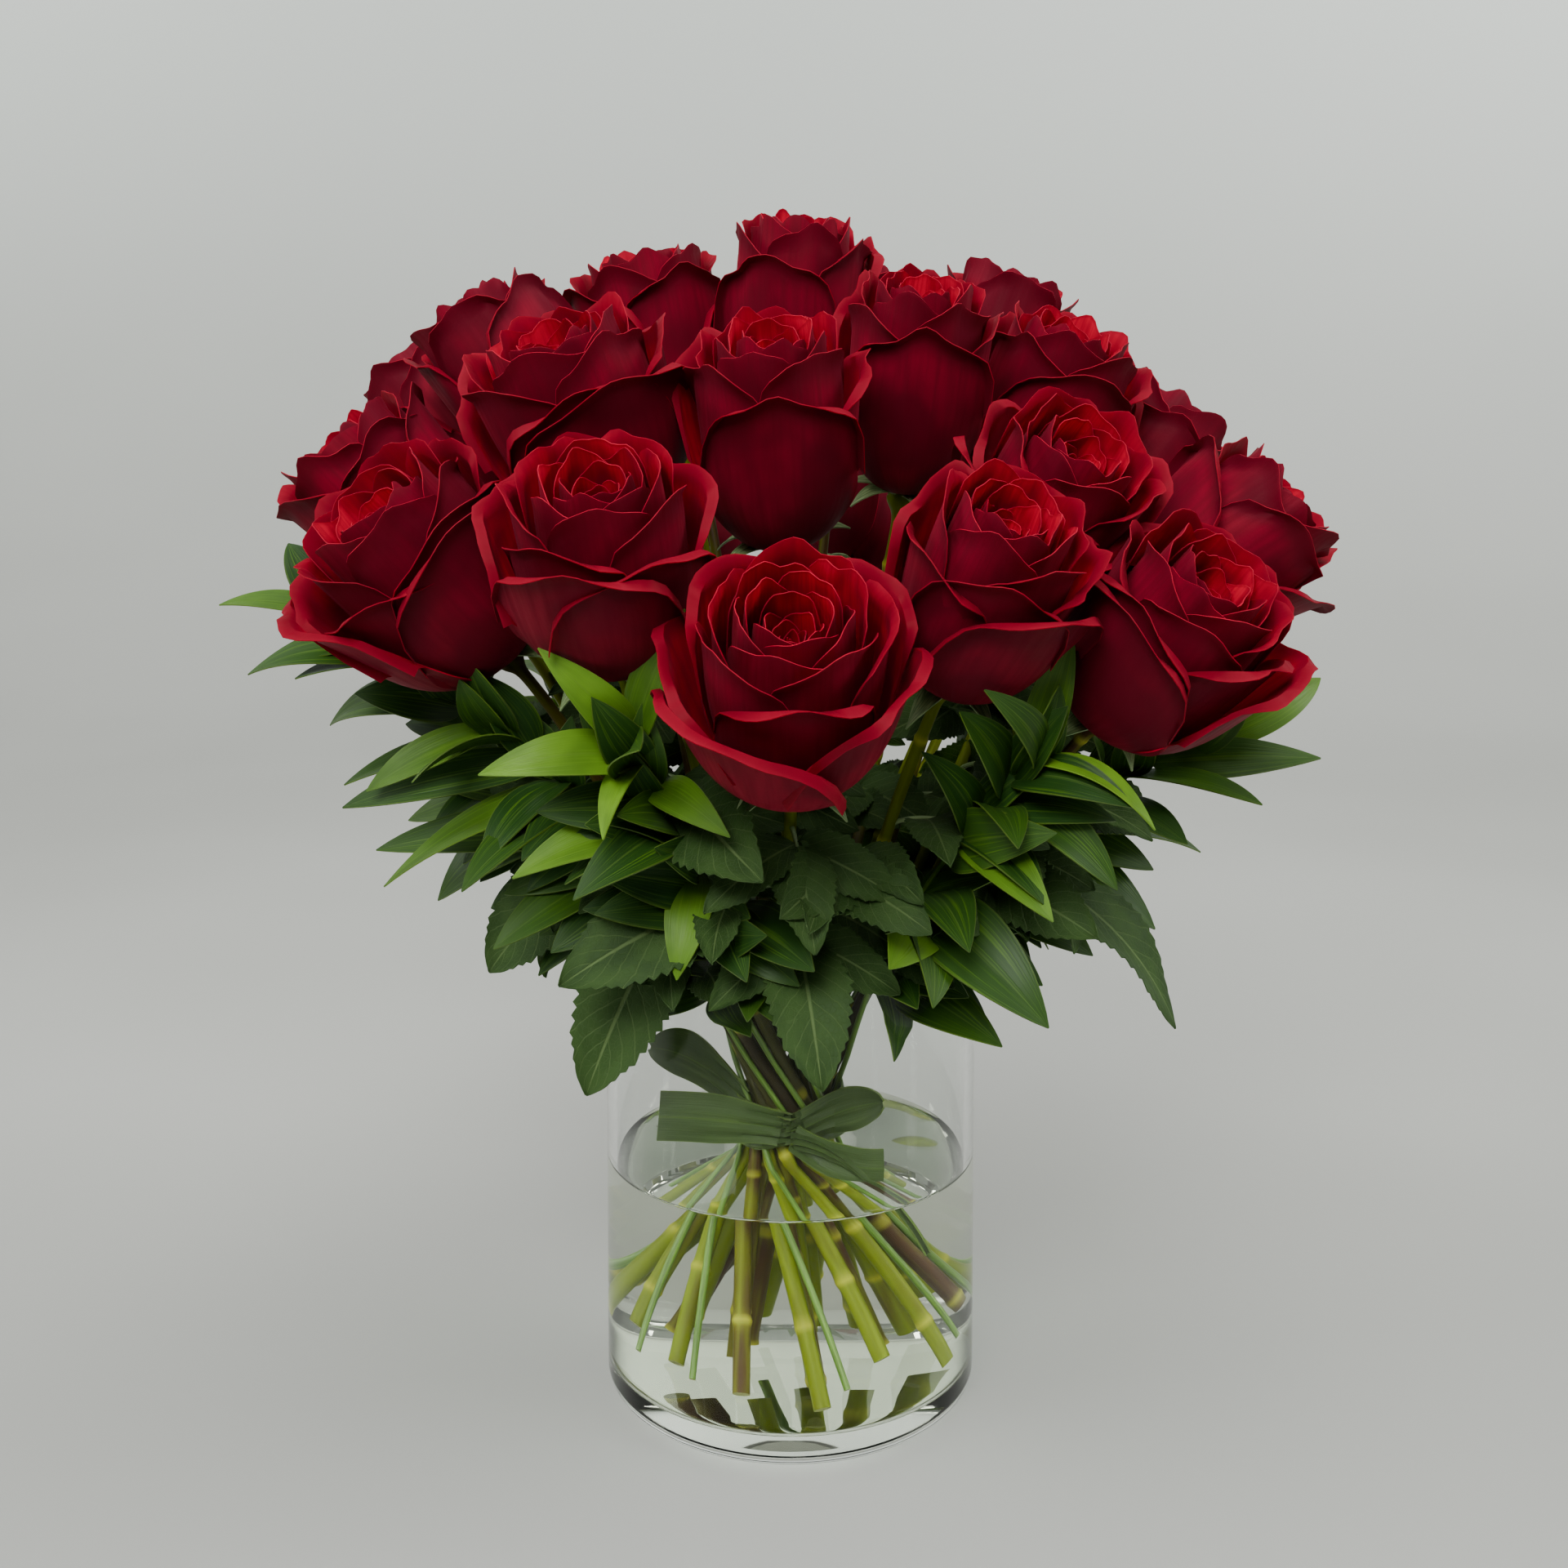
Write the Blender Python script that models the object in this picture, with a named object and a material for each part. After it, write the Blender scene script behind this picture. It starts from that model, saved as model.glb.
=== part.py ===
"""Two dozen roses with ruscus foliage, tied in a spiral and standing in a glass cylinder vase of water.

Units are metres and +Z is up. The origin is the centre of the vase's underside. Azimuths are in degrees
from the front (-Y) and grow towards the right (+X); a reach is a distance out from the vase's axis.
"""

import math

import bmesh
import bpy
from mathutils import Vector

MM = 0.001
GAP = 0.3 * MM

# Vase: a clear glass cylinder with a thick floor, a rounded foot and a rounded rim.
VASE_RADIUS = 75 * MM
VASE_HEIGHT = 196 * MM
VASE_WALL = 4 * MM
VASE_FLOOR = 12 * MM
FOOT_ROUND = 9 * MM
FLOOR_FILLET = 5 * MM
VASE_SEGMENTS = 36
ARC_STEPS = 4

# Water: it fills the vase to this height, round the stems.
WATER_LEVEL = 94 * MM
CHANNEL_RISE = 3 * MM

# Binding: every stem crosses this height on one of three rings, all leaning the same way round.
BINDING_HEIGHT = 111 * MM
KNEE_HEIGHT = 149 * MM
RING_RADIUS = {"inner": 3 * MM, "middle": 8.2 * MM, "outer": 13.4 * MM}
RING_STEMS = {"inner": 3, "middle": 8, "outer": 13}
RING_SLOPE = {"inner": 0.14, "middle": 0.38, "outer": 0.64}
SPRAY_RING_RADIUS = 18.2 * MM
SPRAY_SLOPE = 0.66
SPIRAL_TURN = 72
BEND = 0.36

# Rose stems, from the cut end to the hip under the bloom.
CUT_HEIGHT = 19 * MM
CUT_STEP = 4 * MM
STEM_SIDES = 6
STEM_CUT_RADIUS = 3 * MM
STEM_BOUND_RADIUS = 2.4 * MM
STEM_NECK_RADIUS = 2.3 * MM
STEM_CURVE_STEPS = 6
HIP = ((9 * MM, 2.6 * MM), (5 * MM, 5 * MM), (0, 4.6 * MM))

# Blooms: a goblet of closed petals, given as radius at each share of its length above the hip.
BLOOM_SIDES = 10
BLOOM_PROFILE = (
    (4.8 * MM, 0),
    (13 * MM, 0.08),
    (23 * MM, 0.27),
    (29 * MM, 0.5),
    (33.5 * MM, 0.74),
    (31 * MM, 0.92),
    (23 * MM, 1),
)
BLOOM_CENTRE_SHARE = 0.95

# Each rose: ring, place on the ring, then azimuth, reach and height of the bloom's crown, its lean, the
# azimuth it faces and the bloom's length. Reaches, heights and lengths are in millimetres.
ROSES = (
    ("outer", 0, 0, 160, 336, 42, 0, 86),
    ("outer", 12, -28, 144, 377, 33, -8, 82),
    ("outer", 11, -61, 178, 366, 45, -50, 86),
    ("outer", 10, -86, 184, 388, 43, -75, 82),
    ("middle", 7, -56, 110, 428, 29, -40, 82),
    ("middle", 6, -98, 137, 442, 35, -90, 82),
    ("inner", 2, -127, 80, 466, 14, -55, 82),
    ("middle", 0, -6, 81, 426, 25, -8, 88),
    ("inner", 1, 164, 15, 477, 10, 15, 82),
    ("inner", 0, 58, 61, 447, 21, 13, 88),
    ("middle", 3, 125, 126, 458, 20, 90, 82),
    ("middle", 2, 92, 118, 432, 27, 45, 82),
    ("middle", 1, 57, 133, 386, 45, 30, 82),
    ("outer", 1, 31, 150, 364, 39, 24, 82),
    ("outer", 2, 55, 185, 341, 45, 38, 82),
    ("outer", 3, 86, 203, 365, 53, 75, 82),
    ("outer", 4, 110, 184, 399, 39, 103, 82),
    ("middle", 4, 163, 108, 463, 14, 147, 82),
    ("outer", 9, -115, 189, 418, 43, -108, 82),
    ("outer", 8, -135, 210, 380, 45, -135, 82),
    ("outer", 7, -163, 202, 376, 43, -165, 82),
    ("outer", 6, 167, 204, 376, 43, 165, 82),
    ("outer", 5, 133, 206, 380, 44, 130, 82),
    ("middle", 5, -154, 139, 442, 29, -150, 82),
)

# Leaves are thin closed blades: width at each fraction of the length, thickest along the midrib.
LEAF_OUTLINE = ((0.15, 0.5), (0.42, 1.0), (0.72, 0.68))
LEAF_HALF_THICKNESS = 0.6 * MM
LEAF_ARCH = 0.08

# Rose leaves: rose number, share of its stem's curve, then azimuth, reach and height of the leaf's tip.
ROSE_LEAF_WIDTH = 36 * MM
ROSE_LEAVES = (
    (2, 0.60, -38, 122, 188),
    (1, 0.62, 25, 116, 213),
    (1, 0.78, 4, 116, 209),
    (1, 0.50, 6, 104, 156),
    (2, 0.44, -50, 100, 140),
    (3, 0.50, -76, 122, 176),
    (15, 0.45, 54, 138, 204),
    (15, 0.60, 72, 155, 160),
    (17, 0.40, 104, 125, 176),
    (23, 0.44, 116, 108, 154),
    (22, 0.40, 170, 112, 169),
    (21, 0.42, -172, 106, 149),
    (20, 0.42, -151, 112, 164),
    (19, 0.40, -108, 110, 154),
)

# Ruscus sprays: notch of the outer ring, then azimuth, reach and height of the end, its lean and facing.
SPRAY_SIDES = 5
SPRAY_STEM_RADIUS = 1 * MM
SPRAY_TIP_RADIUS = 0.8 * MM
SPRAY_CURVE_STEPS = 6
SPRAY_CUT_HEIGHT = 25 * MM
SPRAY_LEAF_WIDTH = 20 * MM
SPRAYS = {
    "front_left": (12, -28, 118, 282, 30, -28),
    "left": (11, -62, 127, 278, 60, -62),
    "far_left": (10, -90, 190, 316, 60, -90),
    "front_right": (1, 42, 130, 274, 50, 42),
    "right": (3, 82, 165, 266, 70, 85),
    "back_right": (5, 135, 150, 266, 60, 135),
    "back": (6, 180, 150, 266, 60, 180),
    "back_left": (8, -135, 150, 266, 60, -135),
}
# The leaves of each spray: share of its stem's curve, then azimuth, reach and height of the leaf's tip.
SPRAY_LEAVES = {
    "front_left": (
        (0.98, -34, 152, 316),
        (0.98, -16, 130, 329),
        (0.94, -40, 164, 273),
        (0.94, -26, 144, 252),
        (0.86, -9, 132, 253),
        (0.72, -41, 147, 234),
        (0.60, -22, 108, 195),
        (0.50, -8, 104, 218),
    ),
    "left": (
        (0.99, -66, 171, 256),
        (0.92, -52, 168, 266),
        (0.85, -70, 178, 248),
        (0.75, -63, 167, 222),
        (0.68, -50, 152, 226),
        (0.60, -73, 165, 229),
        (0.52, -55, 133, 199),
    ),
    "far_left": (
        (0.99, -92, 234, 317),
        (0.86, -87, 217, 291),
        (0.72, -95, 192, 266),
        (0.60, -84, 178, 248),
        (0.50, -96, 160, 226),
        (0.42, -85, 142, 200),
    ),
    "front_right": (
        (0.98, 27, 142, 302),
        (0.98, 43, 143, 319),
        (0.98, 47, 170, 252),
        (0.85, 49, 152, 227),
        (0.70, 38, 146, 220),
        (0.45, 44, 132, 176),
        (0.38, 19, 106, 199),
    ),
    "right": (
        (0.98, 90, 215, 288),
        (0.88, 80, 208, 262),
        (0.80, 71, 186, 249),
        (0.70, 68, 160, 234),
        (0.58, 88, 166, 218),
        (0.46, 80, 146, 192),
    ),
    "back_right": (
        (0.98, 135, 198, 272),
        (0.88, 122, 188, 260),
        (0.88, 148, 186, 248),
        (0.76, 130, 178, 230),
        (0.64, 146, 162, 216),
        (0.54, 124, 146, 204),
        (0.46, 138, 130, 182),
    ),
    "back": (
        (0.98, 180, 200, 268),
        (0.88, 166, 186, 256),
        (0.88, 193, 188, 250),
        (0.76, 174, 174, 230),
        (0.64, 190, 160, 218),
        (0.54, 168, 146, 206),
        (0.48, 178, 132, 186),
    ),
    "back_left": (
        (0.98, -135, 198, 274),
        (0.88, -148, 188, 254),
        (0.88, -122, 186, 252),
        (0.76, -140, 176, 228),
        (0.64, -124, 162, 220),
        (0.56, -118, 150, 210),
        (0.50, -130, 140, 192),
    ),
}

# Tie: a long leaf blade wound round the stems and knotted, with its two cut ends standing out.
TIE_INNER_RADIUS = 20.6 * MM
TIE_THICKNESS = 1.2 * MM
TIE_WIDTH = 20 * MM
TIE_SEGMENTS = 24
# Each tail of the tie: azimuth, reach and height of both ends, and the width at each end.
TIE_TAILS = (
    ((-35, 21, 111), (-60, 60, 122), 18, 20),
    ((22, 21.2, 110), (46, 42, 118), 12, 18),
    ((10, 21, 106), (42, 42, 102), 12, 9),
)

# Colours as linear RGB, with roughness.
PETAL_COLOUR = (0.16, 0.004, 0.008)
STEM_COLOUR = (0.09, 0.13, 0.02)
RUSCUS_COLOUR = (0.03, 0.1, 0.008)
TIE_COLOUR = (0.12, 0.2, 0.09)
GLASS_COLOUR = (0.92, 0.96, 0.95)
WATER_COLOUR = (0.9, 0.95, 0.93)


def material(name, colour, roughness, transmission=0.0):
    made = bpy.data.materials.new(name)
    made.use_nodes = True
    shader = made.node_tree.nodes["Principled BSDF"]
    shader.inputs["Base Color"].default_value = (*colour, 1)
    shader.inputs["Roughness"].default_value = roughness
    shader.inputs["Metallic"].default_value = 0
    shader.inputs["Transmission Weight"].default_value = transmission
    return made


def outward(azimuth):
    """The level unit vector at an azimuth."""
    angle = math.radians(azimuth)
    return Vector((math.sin(angle), -math.cos(angle), 0))


def place(azimuth, reach, height):
    """A point from an azimuth and from a reach and a height in millimetres."""
    return outward(azimuth) * reach * MM + Vector((0, 0, height * MM))


def leaning(lean, facing):
    """The unit vector that leans this far from upright towards an azimuth."""
    angle = math.radians(lean)
    return outward(facing) * math.sin(angle) + Vector((0, 0, math.cos(angle)))


def add_object(name, mesh_data, look):
    mesh = bpy.data.meshes.new(name)
    mesh_data.normal_update()
    mesh_data.to_mesh(mesh)
    mesh_data.free()
    mesh.shade_smooth()
    mesh.set_sharp_from_angle(angle=math.radians(40))
    mesh.materials.append(look)
    made = bpy.data.objects.new(name, mesh)
    bpy.context.scene.collection.objects.link(made)
    return made


def as_cutter(helper):
    """Marks an object as a helper that only a Boolean reads."""
    helper.hide_render = True
    helper.display_type = "WIRE"
    return helper


def add_boolean(target, operation, helper):
    modifier = target.modifiers.new(operation.title(), "BOOLEAN")
    modifier.operation = operation
    modifier.solver = "EXACT"
    modifier.object = helper
    modifier.use_self = operation == "UNION"


def bridge(mesh_data, lower, upper):
    """Quads between two rings of the same count, facing out when both run anticlockwise seen from the top."""
    count = len(lower)
    for i in range(count):
        j = (i + 1) % count
        mesh_data.faces.new((lower[i], lower[j], upper[j], upper[i]))


def turned(profile, segments):
    """A closed solid of revolution about +Z. The profile runs up the outside and ends on the axis."""
    mesh_data = bmesh.new()
    rings = []
    for radius, height in profile:
        if radius < 1e-9:
            rings.append([mesh_data.verts.new((0, 0, height))])
            continue
        angles = [2 * math.pi * i / segments for i in range(segments)]
        ring = [mesh_data.verts.new((radius * math.cos(a), radius * math.sin(a), height)) for a in angles]
        rings.append(ring)
    for lower, upper in zip(rings, rings[1:]):
        if len(lower) == 1 or len(upper) == 1:
            tip, ring = (lower[0], upper) if len(lower) == 1 else (upper[0], lower)
            for i in range(segments):
                pair = (ring[i], ring[(i + 1) % segments])
                mesh_data.faces.new((tip, *pair) if tip is upper[0] else (tip, *reversed(pair)))
        else:
            bridge(mesh_data, lower, upper)
    return mesh_data


def arc(centre, radius, start, end):
    """Profile points on a round, from one angle to another in degrees, with 0 pointing outward."""
    angles = [math.radians(start + (end - start) * i / ARC_STEPS) for i in range(ARC_STEPS + 1)]
    return [(centre[0] + radius * math.cos(a), centre[1] + radius * math.sin(a)) for a in angles]


def tube(mesh_data, points, radii, sides):
    """A closed round bar through the points, with flat ends."""
    normal = (points[1] - points[0]).orthogonal().normalized()
    rings = []
    for i, (point, radius) in enumerate(zip(points, radii)):
        before = points[max(i - 1, 0)]
        after = points[min(i + 1, len(points) - 1)]
        along = (after - before).normalized()
        normal = (normal - along * normal.dot(along)).normalized()
        side = along.cross(normal)
        angles = [2 * math.pi * k / sides for k in range(sides)]
        offsets = [(normal * math.cos(a) + side * math.sin(a)) * radius for a in angles]
        rings.append([mesh_data.verts.new(point + offset) for offset in offsets])
    for lower, upper in zip(rings, rings[1:]):
        bridge(mesh_data, lower, upper)
    mesh_data.faces.new(reversed(rings[0]))
    mesh_data.faces.new(rings[-1])


def bezier(start, start_handle, end_handle, end, share):
    rest = 1 - share
    return (
        start * rest**3
        + start_handle * (3 * rest**2 * share)
        + end_handle * (3 * rest * share**2)
        + end * share**3
    )


def ruled(radius, azimuth, slope, height):
    """A point of the straight stretch of a stem, which passes the binding at this radius and azimuth."""
    drift = outward(azimuth - 90) * slope * (height - BINDING_HEIGHT)
    return outward(azimuth) * radius + drift + Vector((0, 0, height))


def stem_curve(radius, azimuth, slope, end, direction):
    """The curved stretch of a stem above the binding, as a function of its share from 0 to 1."""
    knee = ruled(radius, azimuth, slope, KNEE_HEIGHT)
    along = (knee - ruled(radius, azimuth, slope, BINDING_HEIGHT)).normalized()
    length = (end - knee).length
    return lambda share: bezier(
        knee, knee + along * length * BEND, end - direction * length * BEND, end, share
    )


class Rose:
    """The layout of one rose: where its stem runs, and where its bloom sits and looks."""

    def __init__(self, number, row):
        ring, slot, azimuth, reach, height, lean, facing, length = row
        self.number = number
        self.radius = RING_RADIUS[ring]
        self.azimuth = 360 * slot / RING_STEMS[ring] + SPIRAL_TURN
        self.slope = RING_SLOPE[ring]
        self.axis = leaning(lean, facing)
        self.length = length * MM
        self.hip = place(azimuth, reach, height) - self.axis * self.length
        self.cut = CUT_HEIGHT + CUT_STEP * (number * 5 % 4)
        self.curve = stem_curve(self.radius, self.azimuth, self.slope, self.hip, self.axis)

    def straight(self, height):
        return ruled(self.radius, self.azimuth, self.slope, height)


class Spray:
    """The layout of one ruscus spray, whose stem passes the binding in a notch between two rose stems."""

    def __init__(self, name, row):
        notch, azimuth, reach, height, lean, facing = row
        self.name = name
        self.azimuth = 360 * (notch + 0.5) / RING_STEMS["outer"] + SPIRAL_TURN
        self.end = place(azimuth, reach, height)
        direction = leaning(lean, facing)
        self.cut = SPRAY_CUT_HEIGHT
        self.curve = stem_curve(SPRAY_RING_RADIUS, self.azimuth, SPRAY_SLOPE, self.end, direction)

    def straight(self, height):
        return ruled(SPRAY_RING_RADIUS, self.azimuth, SPRAY_SLOPE, height)


def add_leaf(mesh_data, base, tip, width):
    """A thin arched blade from its base to its tip, whose upper face looks up and out."""
    along = (tip - base).normalized()
    level = Vector((base.x + tip.x, base.y + tip.y, 0)).normalized()
    looks = level + Vector((0, 0, 1))
    normal = (looks - along * looks.dot(along)).normalized()
    side = along.cross(normal)
    length = (tip - base).length
    rows = []
    for share, breadth in LEAF_OUTLINE:
        middle = base.lerp(tip, share) + normal * length * LEAF_ARCH * 4 * share * (1 - share)
        half = side * width * breadth / 2
        rise = normal * LEAF_HALF_THICKNESS
        corners = (middle + half, middle + rise, middle - half, middle - rise)
        rows.append([mesh_data.verts.new(corner) for corner in corners])
    for lower, upper in zip(rows, rows[1:]):
        bridge(mesh_data, lower, upper)
    first = mesh_data.verts.new(base)
    last = mesh_data.verts.new(tip)
    for i in range(4):
        j = (i + 1) % 4
        mesh_data.faces.new((first, rows[0][j], rows[0][i]))
        mesh_data.faces.new((last, rows[-1][i], rows[-1][j]))


def add_leaves(target, curve, rows, width, look):
    """Joins leaves to a stem, each growing from inside it."""
    if not rows:
        return
    blades = bmesh.new()
    for share, azimuth, reach, height in rows:
        add_leaf(blades, curve(share), place(azimuth, reach, height), width)
    bmesh.ops.recalc_face_normals(blades, faces=blades.faces)
    helper = as_cutter(add_object(target.name + "_blades", blades, look))
    add_boolean(target, "UNION", helper)


def build_vase():
    look = material("vase_glass", GLASS_COLOUR, 0.02, 1.0)
    inner = VASE_RADIUS - VASE_WALL
    rim = VASE_WALL / 2
    profile = [(0, 0)]
    profile += arc((VASE_RADIUS - FOOT_ROUND, FOOT_ROUND), FOOT_ROUND, -90, 0)
    profile += arc((VASE_RADIUS - rim, VASE_HEIGHT - rim), rim, 0, 180)
    profile += arc((inner - FLOOR_FILLET, VASE_FLOOR + FLOOR_FILLET), FLOOR_FILLET, 0, -90)
    profile += [(0, VASE_FLOOR)]
    add_object("vase", turned(profile, VASE_SEGMENTS), look)


def build_water(roses, sprays):
    look = material("water", WATER_COLOUR, 0.0, 1.0)
    radius = (VASE_RADIUS - VASE_WALL) * math.cos(math.pi / VASE_SEGMENTS) - GAP
    floor = VASE_FLOOR + GAP
    profile = [(0, floor)]
    profile += arc((radius - FLOOR_FILLET, floor + FLOOR_FILLET), FLOOR_FILLET, -90, 0)
    profile += [(radius, WATER_LEVEL), (0, WATER_LEVEL)]
    water = add_object("water", turned(profile, VASE_SEGMENTS), look)
    top = WATER_LEVEL + CHANNEL_RISE
    for stem in roses + sprays:
        cut_radius = STEM_CUT_RADIUS if isinstance(stem, Rose) else SPRAY_STEM_RADIUS
        sides = STEM_SIDES if isinstance(stem, Rose) else SPRAY_SIDES
        channel = bmesh.new()
        ends = [stem.straight(stem.cut - 2 * GAP), stem.straight(top)]
        tube(channel, ends, [cut_radius + 2 * GAP] * 2, sides)
        helper = as_cutter(add_object("channel", channel, look))
        add_boolean(water, "DIFFERENCE", helper)


def build_tie():
    look = material("tie_leaf", TIE_COLOUR, 0.5)
    outer = TIE_INNER_RADIUS + TIE_THICKNESS
    low = BINDING_HEIGHT - TIE_WIDTH / 2
    high = BINDING_HEIGHT + TIE_WIDTH / 2
    band = bmesh.new()
    corners = ((TIE_INNER_RADIUS, low), (outer, low), (outer, high), (TIE_INNER_RADIUS, high))
    rings = []
    for radius, height in corners:
        angles = [2 * math.pi * i / TIE_SEGMENTS for i in range(TIE_SEGMENTS)]
        points = [(radius * math.cos(a), radius * math.sin(a), height) for a in angles]
        rings.append([band.verts.new(point) for point in points])
    for lower, upper in zip(rings, rings[1:] + rings[:1]):
        bridge(band, lower, upper)
    tie = add_object("tie_leaf", band, look)
    tails = bmesh.new()
    for start, end, start_width, end_width in TIE_TAILS:
        ends = (place(*start), place(*end))
        along = (ends[1] - ends[0]).normalized()
        out = along.cross(Vector((0, 0, 1))).normalized()
        up = out.cross(along)
        rows = []
        for point, width in zip(ends, (start_width, end_width)):
            half = up * width * MM / 2
            thick = out * TIE_THICKNESS / 2
            corners = (point + half + thick, point - half + thick, point - half - thick, point + half - thick)
            rows.append([tails.verts.new(corner) for corner in corners])
        bridge(tails, *rows)
        tails.faces.new(reversed(rows[0]))
        tails.faces.new(rows[1])
    bmesh.ops.recalc_face_normals(tails, faces=tails.faces)
    add_boolean(tie, "UNION", as_cutter(add_object("tie_tails", tails, look)))


def build_rose(rose):
    petal = material(f"petals_{rose.number:02d}", PETAL_COLOUR, 0.6)
    green = material(f"rose_stem_{rose.number:02d}", STEM_COLOUR, 0.5)
    axis = rose.axis
    turn = Vector((0, 0, 1)).rotation_difference(axis)
    outline = [(0, 0), *BLOOM_PROFILE, (0, BLOOM_CENTRE_SHARE)]
    profile = [(radius, share * rose.length) for radius, share in outline]
    bloom = add_object(f"rose_{rose.number:02d}_bloom", turned(profile, BLOOM_SIDES), petal)
    bloom.rotation_mode = "QUATERNION"
    bloom.rotation_quaternion = turn
    bloom.location = rose.hip

    stem = bmesh.new()
    points = [rose.straight(rose.cut), rose.straight(BINDING_HEIGHT)]
    radii = [STEM_CUT_RADIUS, STEM_BOUND_RADIUS]
    for step in range(STEM_CURVE_STEPS):
        points.append(rose.curve(step / STEM_CURVE_STEPS))
        radii.append(STEM_NECK_RADIUS)
    for below, radius in HIP:
        points.append(rose.hip - axis * (below + GAP))
        radii.append(radius)
    tube(stem, points, radii, STEM_SIDES)
    body = add_object(f"rose_{rose.number:02d}_stem", stem, green)
    leaves = [row[1:] for row in ROSE_LEAVES if row[0] == rose.number]
    add_leaves(body, rose.curve, leaves, ROSE_LEAF_WIDTH, green)


def build_spray(spray):
    green = material(f"ruscus_{spray.name}", RUSCUS_COLOUR, 0.35)
    stem = bmesh.new()
    points = [spray.straight(spray.cut), spray.straight(BINDING_HEIGHT)]
    radii = [SPRAY_STEM_RADIUS, SPRAY_STEM_RADIUS]
    for step in range(SPRAY_CURVE_STEPS + 1):
        points.append(spray.curve(step / SPRAY_CURVE_STEPS))
        radii.append(SPRAY_STEM_RADIUS if step < SPRAY_CURVE_STEPS else SPRAY_TIP_RADIUS)
    tube(stem, points, radii, SPRAY_SIDES)
    body = add_object(f"ruscus_{spray.name}", stem, green)
    add_leaves(body, spray.curve, SPRAY_LEAVES[spray.name], SPRAY_LEAF_WIDTH, green)


def main():
    for old in list(bpy.data.objects):
        bpy.data.objects.remove(old)
    roses = [Rose(number, row) for number, row in enumerate(ROSES, 1)]
    sprays = [Spray(name, row) for name, row in SPRAYS.items()]
    build_vase()
    build_water(roses, sprays)
    build_tie()
    for rose in roses:
        build_rose(rose)
    for spray in sprays:
        build_spray(spray)


main()
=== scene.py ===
"""Looks of a hand-tied bouquet of dark red roses in a glass cylinder of water, built round the CAD."""

import math
import random

import bpy
import numpy as np
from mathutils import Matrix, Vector


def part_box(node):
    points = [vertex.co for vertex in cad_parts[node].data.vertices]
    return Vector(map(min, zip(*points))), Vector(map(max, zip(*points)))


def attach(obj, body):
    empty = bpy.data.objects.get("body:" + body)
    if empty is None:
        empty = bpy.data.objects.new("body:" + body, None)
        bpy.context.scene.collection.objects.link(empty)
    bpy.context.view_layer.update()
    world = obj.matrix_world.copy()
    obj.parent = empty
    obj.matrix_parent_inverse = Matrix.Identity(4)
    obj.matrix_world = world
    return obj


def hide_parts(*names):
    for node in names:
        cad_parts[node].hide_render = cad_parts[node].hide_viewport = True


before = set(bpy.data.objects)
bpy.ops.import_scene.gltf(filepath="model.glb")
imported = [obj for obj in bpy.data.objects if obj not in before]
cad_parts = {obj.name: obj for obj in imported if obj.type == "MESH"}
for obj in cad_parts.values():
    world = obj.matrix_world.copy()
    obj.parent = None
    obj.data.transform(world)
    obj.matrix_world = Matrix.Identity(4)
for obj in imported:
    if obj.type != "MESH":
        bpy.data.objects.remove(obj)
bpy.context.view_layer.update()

MM = 0.001

# Layout, the same as the CAD's. In the tables, azimuths, leans and facings are in degrees from the front (-Y)
# towards the right (+X) and from upright, and lengths are in millimetres.
vase_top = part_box("vase")[1]
VASE_RADIUS = vase_top.x
VASE_HEIGHT = vase_top.z
VASE_WALL = 4 * MM
VASE_FLOOR = 12 * MM
WATER_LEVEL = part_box("water")[1].z

BINDING_HEIGHT = 111 * MM
KNEE_HEIGHT = 149 * MM
RING_RADIUS = {"inner": 3 * MM, "middle": 8.2 * MM, "outer": 13.4 * MM}
RING_STEMS = {"inner": 3, "middle": 8, "outer": 13}
RING_SLOPE = {"inner": 0.14, "middle": 0.38, "outer": 0.64}
SPRAY_RING_RADIUS = 18.2 * MM
SPRAY_SLOPE = 0.66
SPIRAL_TURN = 72
BEND = 0.36
CUT_HEIGHT = 19 * MM
CUT_STEP = 4 * MM
SPRAY_CUT_HEIGHT = 25 * MM

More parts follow.
